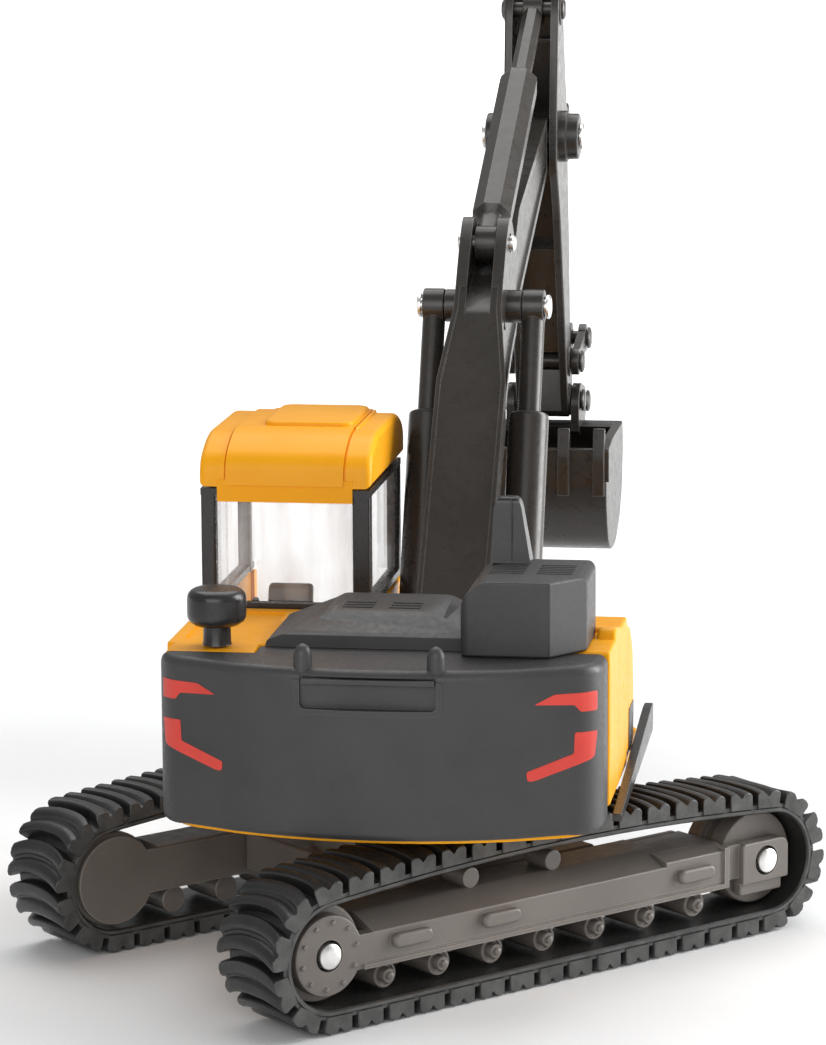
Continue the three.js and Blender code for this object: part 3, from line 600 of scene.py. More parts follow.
ROLLER_XS = [-26.6 + 8.67 * i for i in range(7)]
STUB_XS = [-10.9, 2.8]
STUB_Z = 14.55
BOSS_XS = [-24, -9.6, 23.7]
DRUM_R = 5.2
CHEEK_IN = 18.0             # inner side of the thin cheek inside each frame
CHEEK_R = 5.9


def track_roller(x, hand):
    profile = [(0, 1.7), (0.1, 1.8), (7.0, 1.8), (7.2, 1.68), (7.2, 1.4), (6.9, 1.35), (6.9, 1.0), (7.9, 1.0),
               (8.1, 0.85), (8.1, 0.5), (8.5, 0.46), (8.6, 0.25)]
    body = turned((x, hand * 19.4, ROLLER_Z), (x, hand * 28, ROLLER_Z), profile, 28)
    return join(body, block([x - 0.9, x + 0.9], [hand * 20, hand * 25.6], [ROLLER_Z, 7.5]))


def final_drive(hand):
    depth = FRAME_OUT - YOKE_IN
    profile = [(0, DRUM_R), (depth - 0.35, DRUM_R), (depth - 0.1, 5.08), (depth, 4.85)]
    drum = turned((-AXLE_X, hand * YOKE_IN, AXLE_Z), (-AXLE_X, hand * FRAME_OUT, AXLE_Z), profile, 56)
    bolts = []
    bolt_count, bolt_circle = 10, 4.25
    for i in range(bolt_count):
        angle = 2 * math.pi * (i + 0.3) / bolt_count
        x, z = -AXLE_X + bolt_circle * math.cos(angle), AXLE_Z + bolt_circle * math.sin(angle)
        bolts.append(turned((x, hand * (FRAME_OUT - 0.2), z), (x, hand * 29, z),
                            [(0, 0.36), (0.35, 0.36), (0.5, 0.26), (0.54, 0.1)], 12))
    return join(drum, loose(*bolts))


def track_frame(label, hand):
    def reach(inner, outer):
        return [hand * inner, hand * outer]

    def section(top, shoulder, edge):
        return [(hand * FRAME_IN, FRAME_LOW), (hand * FRAME_OUT, FRAME_LOW), (hand * FRAME_OUT, edge, 0.2),
                (hand * shoulder, top, 0.5), (hand * FRAME_IN, top)]

    cheek = reach(CHEEK_IN, FRAME_IN + 0.1)
    hull = join(
        prism("front", section(FRAME_TOP, 24.2, 11.6), [-29.6, 20]),
        prism("front", section(NOSE_TOP, 26, 12.2), [19, 29.8]),
        block([-34, -29], reach(YOKE_IN, FRAME_OUT), [FRAME_LOW, 11.6]),
        block([-AXLE_X, 29], cheek, [FRAME_LOW, 13]),
        rod((-AXLE_X, cheek[0], AXLE_Z), (-AXLE_X, cheek[1], AXLE_Z), CHEEK_R, 0.1, 48),
        final_drive(hand),
        block([-31.4, 29.8], reach(28, 28.75), [7.15, 7.75]),
        block([29, 29.8], reach(24, 28.75), [7.15, 12.6]),
        block([29, 33.4], reach(YOKE_IN, 27.7), [7.8, 12.4]),
        prism("side", [(32.4, 6.9), (40.6, 6.9, 0.4), (40.6, 11.7, 0.9), (39.8, 12.5, 0.6),
                       (32.4, 12.5, 0.5)], reach(YOKE_IN, 28.7), 0, 0.25),
        block([32.5, 40], reach(YOKE_IN, 28), [5.2, 7], 0.3))
    bosses = [prism("side", [(x - 3.1, 9.1), (x + 3.1, 9.1), (x + 3.1, 11), (x - 3.1, 11)],
                    reach(28.2, 29.5), 0.93, 0.45) for x in BOSS_XS]
    stubs = [rod((x, hand * 20, STUB_Z), (x, hand * 24.5, STUB_Z), 1.35, 0.2) for x in STUB_XS]
    hull = join(hull, loose(*bosses), loose(*stubs), loose(*[track_roller(x, hand) for x in ROLLER_XS]))
    sockets = loose(*[rod((x, hand * 26, AXLE_Z), (x, hand * 29.4, AXLE_Z), RIVET_R + 0.35)
                      for x in (-AXLE_X, AXLE_X)])
    groove = block([-31, 29], reach(28.25, 29), [7.85, 8.05])
    piece(f"track_frame_{label}_moulding", "chassis", cut(hull, sockets, groove), "frame_plastic",
          [f"track_frame_{label}"], 0.14, CHASSIS)


def undercarriage():
    for label, hand in (("left", 1), ("right", -1)):
        rubber_belt(label, hand)
        track_frame(label, hand)
        for kind, x, face in (("drive", -AXLE_X, 28.6), ("idler", AXLE_X, 28.9)):
            wheel(label, hand, kind, x)
            axle_rivet(label, hand, kind, x, face)
    tower = join(block([-16, 16], [-17.7, 17.7], [7.6, 13.2], 0.6),
                 rod((0, 0, 7.6), (0, 0, 18.6), SLEW_R, 0.3, 64),
                 rod((0, 0, 18), (0, 0, 21.5), 10.7, 0.2, 64))
    piece("carbody_moulding", "chassis", cut(tower, rod((0, 0, 11), (0, 0, 22), 2.5)), "frame_plastic",
          ["carbody"], space=CHASSIS)
    ring = cut(rod((0, 0, 18.9), (0, 0, 21.5), SLEW_R, 0.3, 72), rod((0, 0, 18), (0, 0, 22), 11, 0, 64))
    piece("slew_ring_turned", "chassis", ring, "black_plastic", ["slew_ring"], space=CHASSIS)
    rivet = turned((0, 0, 12), (0, 0, 25.3), [(0, 2), (0.2, 2.2), (11.9, 2.2), (11.9, 3.9), (12.6, 3.9),
                                              (13, 3.3), (13.3, 1.8)], 48)
    piece("slew_rivet_turned", "chassis", rivet, "steel", ["slew_rivet"], 0, CHASSIS)


# ---- house
def rear_x(y, depth):
    """x of the counterweight's curved rear at y."""
    middle = (LEFT + RIGHT) / 2
    return REAR_MID + depth + (REAR_SIDE - REAR_MID) * ((y - middle) / (LEFT - middle)) ** 2


def rear_outline(depth, front):
    """Plan of the curved rear, from front backwards. The steps beside its round corners hold no point."""
    left, right = LEFT - depth, RIGHT + depth
    steps = 16
    points = [(front, left, 1.2)]
    for i in range(steps + 1):
        y = left + (right - left) * i / steps
        end = i in (0, steps)
        if end or 2 < i < steps - 2:
            points.append((rear_x(y, depth), y, 4.6 if end else 0))
    return points + [(front, right, 1.2)]


def counterweight():
    front = WEIGHT_FRONT - GAP
    shell = prism("plan", rear_outline(WEIGHT_INSET, front), [FLOOR + 0.1, DECK], 0, 1.3, 9)

    def opening(top, span):
        return prism("front", [(-7.6, 39, 0.7), (9.6, 39, 0.7), (9.6, top), (-7.6, top)], span)

    outer = prism("front", [(-8.3, 38.3, 1), (10.3, 38.3, 1), (10.3, 42.6), (-8.3, 42.6)], [-41, -34])
    swell = prism("plan", rear_outline(WEIGHT_INSET - 0.22, front), [38, 43], 0, 0, 9)
    rim = cut(common(swell, outer), opening(44, [-42, -33]))
    ledge = block([REAR_MID + 0.35, -34], [-7.4, 9.4], [42.1, 42.9], 0.2)
    plate = prism("plan", rear_outline(0.5, WEIGHT_FRONT + 1), [20, PLATE + GAP])
    seat = block([-28.3, WEIGHT_FRONT + 1], [16.7, 31], [42.1, 46])
    profile = [(0, 1.2), (3.9, 1.15), (4.5, 1.02), (5.0, 0.7), (5.3, 0.2)]
    posts = [turned((-35.6, y, 41.6), (-35.6, y, 46.9), profile, 28) for y in (9.4, -7.4)]
    body = cut(join(cut(shell, opening(43.2, [-41, REAR_MID + 1.3])), rim, ledge), plate, seat)
    piece("counterweight_moulding", "house", join(body, *posts), "grey_paint", ["counterweight"], 0.25)


# Outlines of the reflectors on each side: (distance in from the side, z)
REFLECTORS = {
    "upper": [(0.9, 40.9), (5.9, 40.9), (8.4, 39.7), (3.5, 39.4), (2.8, 38.5), (0.9, 38.4)],
    "lower": [(0.9, 35.8), (3.5, 35.9), (3.6, 33.2), (9.3, 31.2), (9.2, 30, 0.5), (8.4, 30, 0.4),
              (1.2, 32.4, 0.5)],
}


def reflectors():
    film = 0.05
    for label, edge, inward, drop in (("left", LEFT, -1, 0), ("right", RIGHT, 1, 0.3)):
        for level, points in REFLECTORS.items():
            shape = [(edge + inward * p[0], p[1] - drop, p[2] if len(p) > 2 else 0.25) for p in points]
            outer = rear_outline(WEIGHT_INSET - film, WEIGHT_FRONT - GAP)
            inner = rear_outline(WEIGHT_INSET + 0.3, WEIGHT_FRONT + 1)
            band = cut(prism("plan", outer, [28, 42], 0, 0, 9), prism("plan", inner, [27, 43], 0, 0, 9))
            print_shape = common(band, prism("front", shape, [-42, -29.6]))
            piece(f"reflector_{level}_{label}", "house", print_shape, "red_print", (), 0)


def engine_cover():
    low = DECK + 0.05
    top = 53.7
    hood = prism("front", [(16.2, low), (16, 44.9, 0.8), (9.4, 47.4, 1.2), (8.4, 48, 0.8),
                           (-5.6, 48, 0.8), (-7.4, 47.1, 0.8), (-11, 46.9), (-11, low)], [-24.4, -8])
    slope = prism("side", [(-26, 44.6), (-24.2, 45.8, 0.8), (-19.2, 48.6), (-26, 50)], [-12, 17])
    hood = cut(hood, slope)
    plan = prism("plan", [(-28, -9.3, 1.2), (-28, -20.6, 0.3), (-22.6, -24.9, 0.3), (-11.5, -24.9, 1),
                          (-11.5, -9.3, 1)], [low, top], 0, 0.35)
    front = prism("front", [(-9.2, low), (-9.2, 51, 1.6), (-11.6, top, 1.8), (-24.2, top, 0.8),
                            (-25, 52.8, 0.6), (-25, low)], [-29, -11])
    slots = []
    for y in (5.3, -0.8):
        slots += [block([x - 0.42, x + 0.42], [y - 2, y + 2], [47.3, 49], 0.15)
                  for x in (-17.5, -15.9, -14.3)]
    for y in (-14.4, -20.6):
        slots += [block([x - 0.3, x + 0.3], [y - 2.3, y + 2.3], [53.2, 55])
                  for x in [-21.8 + 1.15 * i for i in range(6)]]
    piece("engine_cover_moulding", "house", cut(join(hood, common(plan, front)), loose(*slots)), "grey_paint",
          ["engine_cover"], 0.45)


def exhaust():
    low = 53.72
    fin = prism("front", [(-16.8, low), (-15.5, 61.2, 0.9), (-15, 62.15, 0.6), (-12.5, 62.15, 0.8),
                          (-12, 60.8), (-11.6, low)], [-15.3, -12])
    sweep = prism("side", [(-15.3, low), (-12, low), (-12.2, 62.2, 0.8), (-14.5, 62.2, 0.8)], [-17, -11])
    seam = prism("front", [(-14.45, 54), (-14.35, 62.3), (-14.25, 62.3), (-14.35, 54)], [-15.36, -15.1])
    piece("exhaust_stack_moulding", "house", join(common(fin, sweep), seam), "black_plastic",
          ["exhaust_stack"], 0.3)


def precleaner():
    profile = [(0, 1.9), (0.3, 1.8), (2.4, 1.75), (2.6, 2.9), (3.0, 3.45), (3.5, 3.75), (4.1, 3.8),
               (6.0, 3.8), (6.5, 3.7), (6.95, 3.35), (7.2, 2.9), (7.28, 2.2), (7.3, 1)]
    body = turned((-24.8, 22.3, DECK + GAP), (-24.8, 22.3, 60), profile, 56)
    piece("precleaner_moulding", "house", body, "black_plastic", ["precleaner"], 0)


def swing_frame():
    shape = [(30, LEFT - 0.8, 1), *rear_outline(1.3, 20)[1:-1], (24, RIGHT + 0.8, 1), (24, -15, 1),
             (20.5, -13.4, 1), (20.5, 5.4, 1), (30, 6.4, 1)]
    plate = prism("plan", shape, [FLOOR, PLATE], 0, 0.2)
    ear = [(-3, PLATE - 0.4), (10.6, PLATE - 0.4), (7.6, 37.5, 3), (4, 40.8, 3), (0.4, 37.5, 3)]
    ears = [prism("side", ear, arm_span(0.85, dy), 0, 0.15) for dy in (-5.95, 5.95)]
    cheek = prism("side", [(12.4, PLATE - 0.4), (19.8, PLATE - 0.4), (18.2, 30.2, 1.6), (13.8, 30.2, 1.6)],
                  arm_span(4.6))
    tools = [rod((0, 0, PLATE), (0, 0, PLATE + 2.2), 4.4), rod((0, 0, 20), (0, 0, 25), 2.5)]
    tools += bores(BOOM_FOOT, LIFT_FOOT)
    piece("swing_frame_casting", "house", cut(join(plate, *ears, cheek), *tools), "yellow_paint",
          ["swing_frame"], 0.15)


def body_shell():
    low = CAB_LOW
    main = block([WEIGHT_FRONT, 0], [RIGHT, LEFT], [low, DECK], 0.4)
    tongue = block([-28, WEIGHT_FRONT + 1], [17, LEFT - 0.9], [42.4, DECK], 0.4)
    side = [(-20, 30), (8, low, 0.4), (9.6, 32, 2), (8.4, 38.6, 3), (4, 42.2, 2)]
    right = prism("side", side + [(-14.2, 45.4, 1.6), (-15.2, DECK - 0.2)], [-25.3, RIGHT], 0, 0.5)
    inner_side = prism("side", side + [(-10.8, 44.8, 0.6), (-10.8, 30)], [-25.5, -14.8])
    skirt = block([-1, 8], [-25.5, RIGHT + 0.4], [low, 32])
    hollow = block([WEIGHT_FRONT + 1.6, -1.6], [RIGHT + 1.6, LEFT - 1.6], [20, DECK - 1.8])
    hollow_right = block([-3, 6.6], [RIGHT + 1.8, -16.4], [20, 39])
    ears = block([-4.8, 0.5], [-11.4, 4.8], [20, 42.2])
    recess = block([-20.6, -2.2], [17.2, 27.4], [DECK - 0.35, DECK + 1], 0.1)
    seams = loose(*[block([x, x + 0.22], [RIGHT - 0.2, RIGHT + 0.22], [24.6, 42.6]) for x in (-11.2, 1.6)])
    shell = cut(join(main, tongue, right, inner_side, skirt), hollow, hollow_right, ears, recess, seams)
    piece("body_shell_casting", "house", shell, "yellow_paint", ["body_shell"], 0.3)
    film = 0.1
    decal = prism("side", [(1.8, 25.4, 0.3), (7.6, 25.4, 0.3), (8.6, 31, 0.3), (2.6, 31, 0.5)],
                  [RIGHT - film, RIGHT + 0.2])
    piece("side_decal", "house", decal, "black_plastic", (), 0)


def side_step():
    run = [(-22.4, 21.9), (22.4, 23.6, 0.3), (23, 27.4, 0.8), (19.4, 27.4, 0.8), (-22.4, 22.9, 0.2)]
    strip = prism("side", run, [RIGHT - GAP, RIGHT - 1.5], 0, 0.12)
    piece("side_step_moulding", "house", strip, "black_plastic", ["side_step"], 0.12)


# ---- cab
FRAME_FOOT = CAB_SILL + GAP
RAIL = 0.9                  # height of the cab frame's bottom and top rings


def cab_span(depth):
    """Both y of the cab's sides, moved inwards."""
    return [CAB_Y0 + depth, LEFT - depth]


def cab_posts(grow, reach=0.0):
    spans = [(CAB_X0, 2.2, 27.2, LEFT - 0.1), (CAB_X0, 2.4, CAB_Y0 + 0.1, 8.8),
             (26.4, 28.2, 27.4, LEFT - 0.1), (26.4, 28.2, CAB_Y0 + 0.1, 8.2)]
    return [block([x0 - grow, x1 + grow], [y0 - grow, y1 + grow], [FRAME_FOOT, CAB_EAVES], 0, reach)
            for x0, x1, y0, y1 in spans]


def cab_ring(z0, z1, far):
    hole = block([1.8, far - 1.8], cab_span(1.8), [z0 - 1, z1 + 1])
    return cut(block([CAB_X0, far], cab_span(0.1), [z0, z1]), hole)


def cab_frame():
    open_front = block([28, 31], cab_span(1.8), [FRAME_FOOT - 1, FRAME_FOOT + 2])
    frame_mesh = join(cut(cab_ring(FRAME_FOOT, FRAME_FOOT + RAIL, 29.8), open_front),
                      cab_ring(CAB_EAVES - RAIL, CAB_EAVES, 28.2), *cab_posts(0, 0.35))
    piece("cab_frame_moulding", "house", frame_mesh, "black_plastic", ["cab_frame"], 0.14)


def cab_glazing():
    low = FRAME_FOOT + RAIL + GAP
    high = CAB_EAVES - RAIL - GAP

    def shell(depth):
        shape = [(0.9 + depth, low - depth), (29.4 - depth, low - depth), (27.8 - depth, high + depth, 0.6),
                 (0.9 + depth, high + depth, 0.6)]
        return cut(prism("side", shape, cab_span(0.7 + depth)), *cab_posts(GAP + depth))

    low_pane = block([28.6, 29.4], cab_span(2.3), [CAB_FRONT + GAP, low + 0.1])
    panes = join(cut(shell(0), shell(0.8)), low_pane)
    piece("cab_glazing_moulding", "house", panes, "clear_glazing", ["cab_glazing"], 0.12)


def cab_body():
    shape = [(CAB_X0, CAB_LOW), (29, CAB_LOW, 1.5), (31, 30, 4), (30.6, CAB_SILL, 0.6),
             (CAB_X0, CAB_SILL, 0.4)]
    tub = prism("side", shape, [CAB_Y0, LEFT], 0, 0.4)
    hollow = block([1.8, 28.6], cab_span(1.5), [27, 50])
    low_window = block([28, 32], cab_span(2), [CAB_FRONT, 45])
    seam, door = 0.25, (4.2, 21.4)
    seam_depth = [LEFT - 0.22, LEFT + 1]
    sides = loose(*[block([x, x + seam], seam_depth, [26.4, CAB_SILL + 1]) for x in door])
    foot = block([door[0], door[1] + seam], seam_depth, [26.2, 26.2 + seam])
    handle = block([18.2, 20.6], [LEFT - 0.25, LEFT], [38.2, 39.1], 0.1)
    piece("cab_body_casting", "house", cut(tub, hollow, low_window, sides, foot, handle), "yellow_paint",
          ["cab_body"])


def cab_roof():
    low = CAB_EAVES + GAP

    def profile(d):
        return [(CAB_X0 - 0.3 + d, low - d), (CAB_X0 + 0.2 + d, 64 - d, 4.6), (6 + d, CAB_TOP - d, 4.6),
                (26 - d, CAB_TOP - d, 4), (30.4 - d, 64.2 - d, 2), (30.2 - d, low - d)]

    crown = prism("side", profile(0), cab_span(-0.1), 0, 0.9)
    hollow = prism("side", profile(1.4), cab_span(1.5))
    raised = prism("side", profile(-0.25), cab_span(3.6))
    skin = cut(raised, prism("side", profile(0.4), cab_span(2)))
    above = block([-4, 34], [0, 34], [low + 0.02, 70])
    foot = CAB_TOP - 0.6
    hatch = prism("plan", [(10, 10.2), (26, 10.2), (26, 22.4), (10, 22.4)], [foot, CAB_TOP + 0.8], 1.8, 0.4)
    base = prism("plan", [(8.6, 9.2), (26.6, 9.2), (26.6, 23.6), (8.6, 23.6)], [foot, CAB_TOP + 0.25], 2, 0.2)
    grooves = [cut(prism("side", profile(-1), [y, y + 0.25]), prism("side", profile(0.22), [y - 1, y + 1]))
               for y in (CAB_Y0 + 3.35, LEFT - 3.6)]
    skirt = block([CAB_X0 - 0.3, CAB_X0 - 0.02], cab_span(2.4), [58.3, low + 1])
    roof = join(cut(join(crown, common(skin, above), base, hatch), hollow, *grooves), skirt)
    piece("cab_roof_casting", "house", roof, "yellow_paint", ["cab_roof"], 0.2)


def cab_interior():
    back = prism("side", [(8.6, 33), (11.6, 33), (13.4, 45, 0.9), (11.2, 45, 0.9)], [16.2, 22.2], 0, 0.5)
    cushion = prism("side", [(8.6, 30), (18.4, 30), (18.6, 33.6, 1.2), (8.6, 33.6)], [15.6, 22.8], 0, 0.5)
    base = block([9.6, 16], [17, 21.4], [CAB_BASE, 30.2])
    piece("cab_seat_moulding", "house", join(back, cushion, base), "seat_plastic", ["cab_seat"], 0.2)
    for label, y in (("left", 25.4), ("right", 12.4)):
        body = prism("side", [(9, CAB_BASE), (19.6, CAB_BASE), (20.4, 36.4, 0.6), (9.6, 38.6, 0.6)],
                     [y - 1.6, y + 1.6], 0, 0.3)
        lever = turned((18.6, y, 36), (19.6, y, 44),
                       [(0, 0.3), (4.4, 0.3), (4.6, 0.5), (5.3, 0.5), (5.6, 0.3)], 16)
        piece(f"cab_console_{label}_moulding", "house", join(body, lever), "seat_plastic",
              [f"cab_console_{label}"], 0.15)


# ---- arm
def tapered(halves):
    """Plan outline symmetric about the arm's plane, from (x, half width)."""
    outline = [(x, ARM_Y - half) for x, half in halves] + [(x, ARM_Y + half) for x, half in reversed(halves)]
    return prism("plan", outline, [20, 125])


BOOM_SIDE = [(-0.6, 33.6, 3), (0, 40, 2.5), (34.2, 85, 3), (37.9, 89.8, 3), (41.4, 92.6, 2), (44.8, 90.6, 2),
             (47, 87.6, 3), (60, 92, 4), (94, 101.6, 3), (101.4, 101.4, 3), (101.8, 95.6, 3), (95.6, 94, 3),
             (60, 79, 4), (46, 73.2, 6), (40.4, 69.6, 4), (9.4, 31.6, 3), (4, 30.8, 3)]


def boom():
    def beam(depth):
        return prism("side", [tuple(p) for p in inset(rounded(BOOM_SIDE), depth)], arm_span(7))

    core = common(beam(0), tapered([(-3, 3.4), (24, 3.4), (31, 3.2), (49, 3.2), (58, 2.6), (104, 2.6)]))
    # Shallow panels in both flanks leave a raised rim all round
    web = tapered([(8, 2.95), (24, 2.95), (31, 2.75), (49, 2.75), (58, 2.2), (94, 2.2)])
    panels = common(cut(common(beam(1.1), tapered([(-3, 8), (104, 8)])), web),
                    block([9, 93], arm_span(THROUGH), [20, 125]))
    bosses = loose(across(LIFT_TOP, 3.3, THROUGH), across(CROWD_FOOT, 3.6, THROUGH))
    core = cut(core, cut(panels, bosses))
    spine = prism("side", [(-4, 41), (35, 93), (60, 96), (60, 85), (37.4, 82), (2.4, 37.2), (-4, 33)],
                  arm_span(6))
    flange = common(beam(0), spine, tapered([(-3, 4.8), (24, 4.8), (31, 3.3), (49, 3.3)]))
    collars = across(LIFT_TOP, 2.3, LIFT_DY - 1.6, 0.15)
    foot = across(BOOM_FOOT, 3.4, 4.8, 0.2)
    slot = prism("side", [(24, 76), (32, 80.6), (38.6, 83.9), (48.4, 85), (54, 100), (30, 100)],
                 arm_span(1.7))
    # The rear face is sunk between two raised edges
    rear = prism("side", [(0.4, 42.9), (3.4, 40.6), (34.8, 81.9), (31.8, 84.2)], arm_span(6))
    sunk = common(rear, tapered([(-3, 4.15), (24, 4.15), (31, 2.65), (49, 2.65)]),
                  prism("side", [(-4, 34.4), (40, 92.3), (20, 92.3), (-10, 50)], arm_span(6)))
    mesh = cut(join(core, flange, foot, collars), slot, sunk,
               *bores(BOOM_FOOT, LIFT_TOP, CROWD_FOOT, BOOM_TIP))
    piece("boom_moulding", "boom", mesh, "arm_plastic", ["boom"], 0.25)


def arm_point(at, y=0.0):
    return Vector((at[0], ARM_Y + y, at[1]))


def barrel(name, foot, top, length, sizes, dy=0.0, sides=40):
    """Cylinder barrel with an eye, a turned shoulder, a lip at its mouth and a blind bore."""
    start, end = arm_point(foot, dy), arm_point(top, dy)
    shoulder, outer, bore = sizes["shoulder"], sizes["outer"], sizes["bore"]
    lip = outer * sizes["lip"]
    profile = [(shoulder, outer * 0.62), (shoulder + 1.1, outer), (length - 1.3, outer), (length - 0.6, lip),
               (length - 0.15, lip * 0.97), (length, (bore + outer) / 2)]
    body = turned(start, end, profile, sides, 0.5)
    neck = turned(start, end, [(0.6, sizes["eye"] * 0.8), (shoulder + 0.4, sizes["eye"] * 0.8)], 32)
    half = sizes["half"]
    slab = block([foot[0] - THROUGH, foot[0] + THROUGH], arm_span(half, dy),
                 [foot[1] - THROUGH, foot[1] + THROUGH])
    eye = across(foot, sizes["eye"], half, 0.15, 36, dy)
    hole = turned(start, end, [(shoulder + 2, bore), (length + 1, bore)], 32)
    mesh = cut(join(body, eye, common(neck, slab)), hole, across(foot, BORE_R, THROUGH, dy=dy))
    piece(f"{name}_moulding", name, mesh, "arm_plastic", [name], 0.12)


def piston(name, foot, top, reach, sizes, dy=0.0, sides=32):
    start, end = arm_point(top, dy), arm_point(foot, dy)
    shaft = turned(start, end, [(0.4, sizes["rod"]), (reach, sizes["rod"])], sides, 0.5)
    eye = across(top, sizes["rod_eye"], sizes["half"], 0.2, 36, dy)
    mesh = cut(join(shaft, eye), across(top, BORE_R, THROUGH, dy=dy))
    piece(f"{name}_moulding", name, mesh, "arm_plastic", [name], 0.12)


LIFT = dict(outer=2.8, bore=2.2, rod=1.6, eye=2.2, rod_eye=2.4, half=1.5, shoulder=3.6, lip=1.0)
CROWD = dict(outer=2.95, bore=2.5, rod=1.6, eye=2.4, rod_eye=2.3, half=1.5, shoulder=5, lip=0.98)
TILT = dict(outer=2.3, bore=1.95, rod=1.1, eye=1.9, rod_eye=2, half=1.3, shoulder=5.2, lip=1.0)


def cylinders():
    for label, dy in (("left", LIFT_DY), ("right", -LIFT_DY)):
        barrel(f"lift_barrel_{label}", LIFT_FOOT, LIFT_TOP, 41, LIFT, dy)
        piston(f"lift_rod_{label}", LIFT_FOOT, LIFT_TOP, 23.6, LIFT, dy)
    barrel("crowd_barrel", CROWD_FOOT, CROWD_TOP, 43, CROWD, 0, 8)
    piston("crowd_rod", CROWD_FOOT, CROWD_TOP, 29, CROWD, 0, 8)
    barrel("tilt_barrel", TILT_FOOT, ROCKER_TIP, 21.5, TILT)
    piston("tilt_rod", TILT_FOOT, ROCKER_TIP, 21, TILT)


def stick():
    side = [(95.6, 117.6, 2), (97, 120.4, 1.6), (100.6, 120.4, 1.6), (102.4, 117, 2), (107.6, 102, 4),
            (111.3, 79, 6), (112.9, 64.4, 3), (115.4, 55.8, 2.2), (113.4, 52.8, 2.2), (110.2, 53.2, 2.2),
            (107.4, 61.6, 3), (97.6, 88, 5), (93.4, 93.8, 3), (93.6, 102, 3)]
    body = prism("side", side, arm_span(4.1), 0, 0.3)
    channel = prism("side", [(90, 110), (90, 50), (109.4, 50), (110.4, 58), (111.4, 62), (110.8, 66.4),
                             (110, 79), (106.3, 101.6), (101.2, 115), (100.4, 122), (90, 122)], arm_span(2.9))
    web = prism("side", [(101.1, 113), (106, 102.6), (106, 101.4), (104.6, 101.4), (100.9, 112.4)],
                arm_span(3.1))
    rib = prism("side", [(106.8, 80), (108.4, 72), (110.6, 72), (110.6, 80)], arm_span(3.1))
    bosses = join(across(BOOM_TIP, 3.5, 7.1, 0.35, 48), across(BOOM_TIP, 3.9, 5.4, 0.3, 48))
    gap = across(BOOM_TIP, 5, 2.9)
    ears = prism("side", [(106, 98), (111.2, 96.4), (113.8, 100.4, 2), (112.4, 103.4, 2), (106, 103.4)],
                 arm_span(3.2), 0, 0.2)
    ear_gap = block([108.6, 115], arm_span(1.6), [95, 105])
    pads = [cut(across(at, 2.4, 4.35, 0.15, 36), across(at, 3, 2.9))
            for at in (CROWD_TOP, ROCKER_PIN, BUCKET_PIN)]
    mesh = cut(join(cut(body, channel), web, rib, cut(bosses, gap), cut(ears, ear_gap), *pads),
               *bores(BOOM_TIP, CROWD_TOP, TILT_FOOT, ROCKER_PIN, BUCKET_PIN))
    piece("stick_moulding", "stick", mesh, "arm_plastic", ["stick"], 0.2)


def link(start, end, start_r, end_r, waist, ys):
    a, b = Vector(start), Vector(end)
    normal = (b - a).normalized().orthogonal() * waist
    web = prism("side", [a + normal, a - normal, b - normal, b + normal], ys)
    eyes = [rod((at[0], ys[0], at[1]), (at[0], ys[1], at[1]), radius, 0.1, 36)
            for at, radius in ((start, start_r), (end, end_r))]
    return join(web, *eyes)


def linkage():
    for label, dy in (("left", EAR_DY), ("right", -EAR_DY)):
        plate = link(ROCKER_PIN, ROCKER_TIP, 2.1, 2.2, 1.6, arm_span(0.6, dy))
        piece(f"rocker_{label}_moulding", "rocker", cut(plate, *bores(ROCKER_PIN, ROCKER_TIP)), "arm_plastic",
              [f"rocker_{label}"], 0.12)
    plate = link(ROCKER_TIP, BUCKET_LINK, 2.4, 2.2, 1.7, arm_span(3.4))
    fork = block([ROCKER_TIP[0] - 4, ROCKER_TIP[0] + 4], arm_span(1.7),
                 [ROCKER_TIP[1] - 3.2, ROCKER_TIP[1] + 4])
    mesh = cut(plate, fork, *bores(ROCKER_TIP), across(BUCKET_LINK, PIN_R + 0.45, THROUGH))
    piece("push_link_moulding", "push_link", mesh, "arm_plastic", ["push_link"], 0.15)


def bucket():
    half = 12
    cheek = half - 0.3
    shell = [(91, 51.2), (90.6, 43, 4), (94.6, 35, 6), (106, 33.4, 8), (115.8, 39.4, 7), (117.8, 48, 4),
             (116.8, 51.8, 0.6), (113, 51.8, 0.4), (110.4, 51.4)]
    hollow = [(92.4, 54), (92, 43.6, 4), (95.6, 36.4, 6), (105.6, 34.8, 8), (114.4, 40.4, 6), (116.2, 47, 4),
              (112.6, 50, 1), (109.6, 54), (92.4, 58)]
    parts = [cut(prism("side", shell, arm_span(half), 0, 0.25),
                 prism("side", hollow, arm_span(half - 1.2)))]
    ear = [(109.8, 51), (109.9, 56.4, 2), (112.5, 58.4, 2.2), (119.6, 56.8, 2), (122.2, 54.2, 2),
           (119.4, 51.4, 2), (116.8, 48)]
    parts += [prism("side", ear, arm_span(0.65, dy), 0, 0.12) for dy in (-EAR_DY, EAR_DY)]
    cutter = [(90.6, 51.4, 0.5), (90.6, 46, 0.5), (95, 48.4), (104, 49.2), (112, 49.4), (112, 52.2),
              (96, 52.2, 0.6)]
    parts += [prism("side", cutter, arm_span(0.7, dy), 0, 0.12) for dy in (-cheek, cheek)]
    tooth = [(90.2, 44, 0.3), (92.2, 44), (92.6, 50), (91.9, 54.4, 0.3), (91.2, 54.4, 0.3), (89.9, 50, 1)]
    parts += [prism("side", tooth, arm_span(0.9, i * TOOTH_PITCH), 0, 0.15) for i in range(-2, 3)]
    mesh = cut(join(*parts), *bores(BUCKET_PIN, BUCKET_LINK))
    piece("bucket_moulding", "bucket", mesh, "arm_plastic", ["bucket"], 0.16)


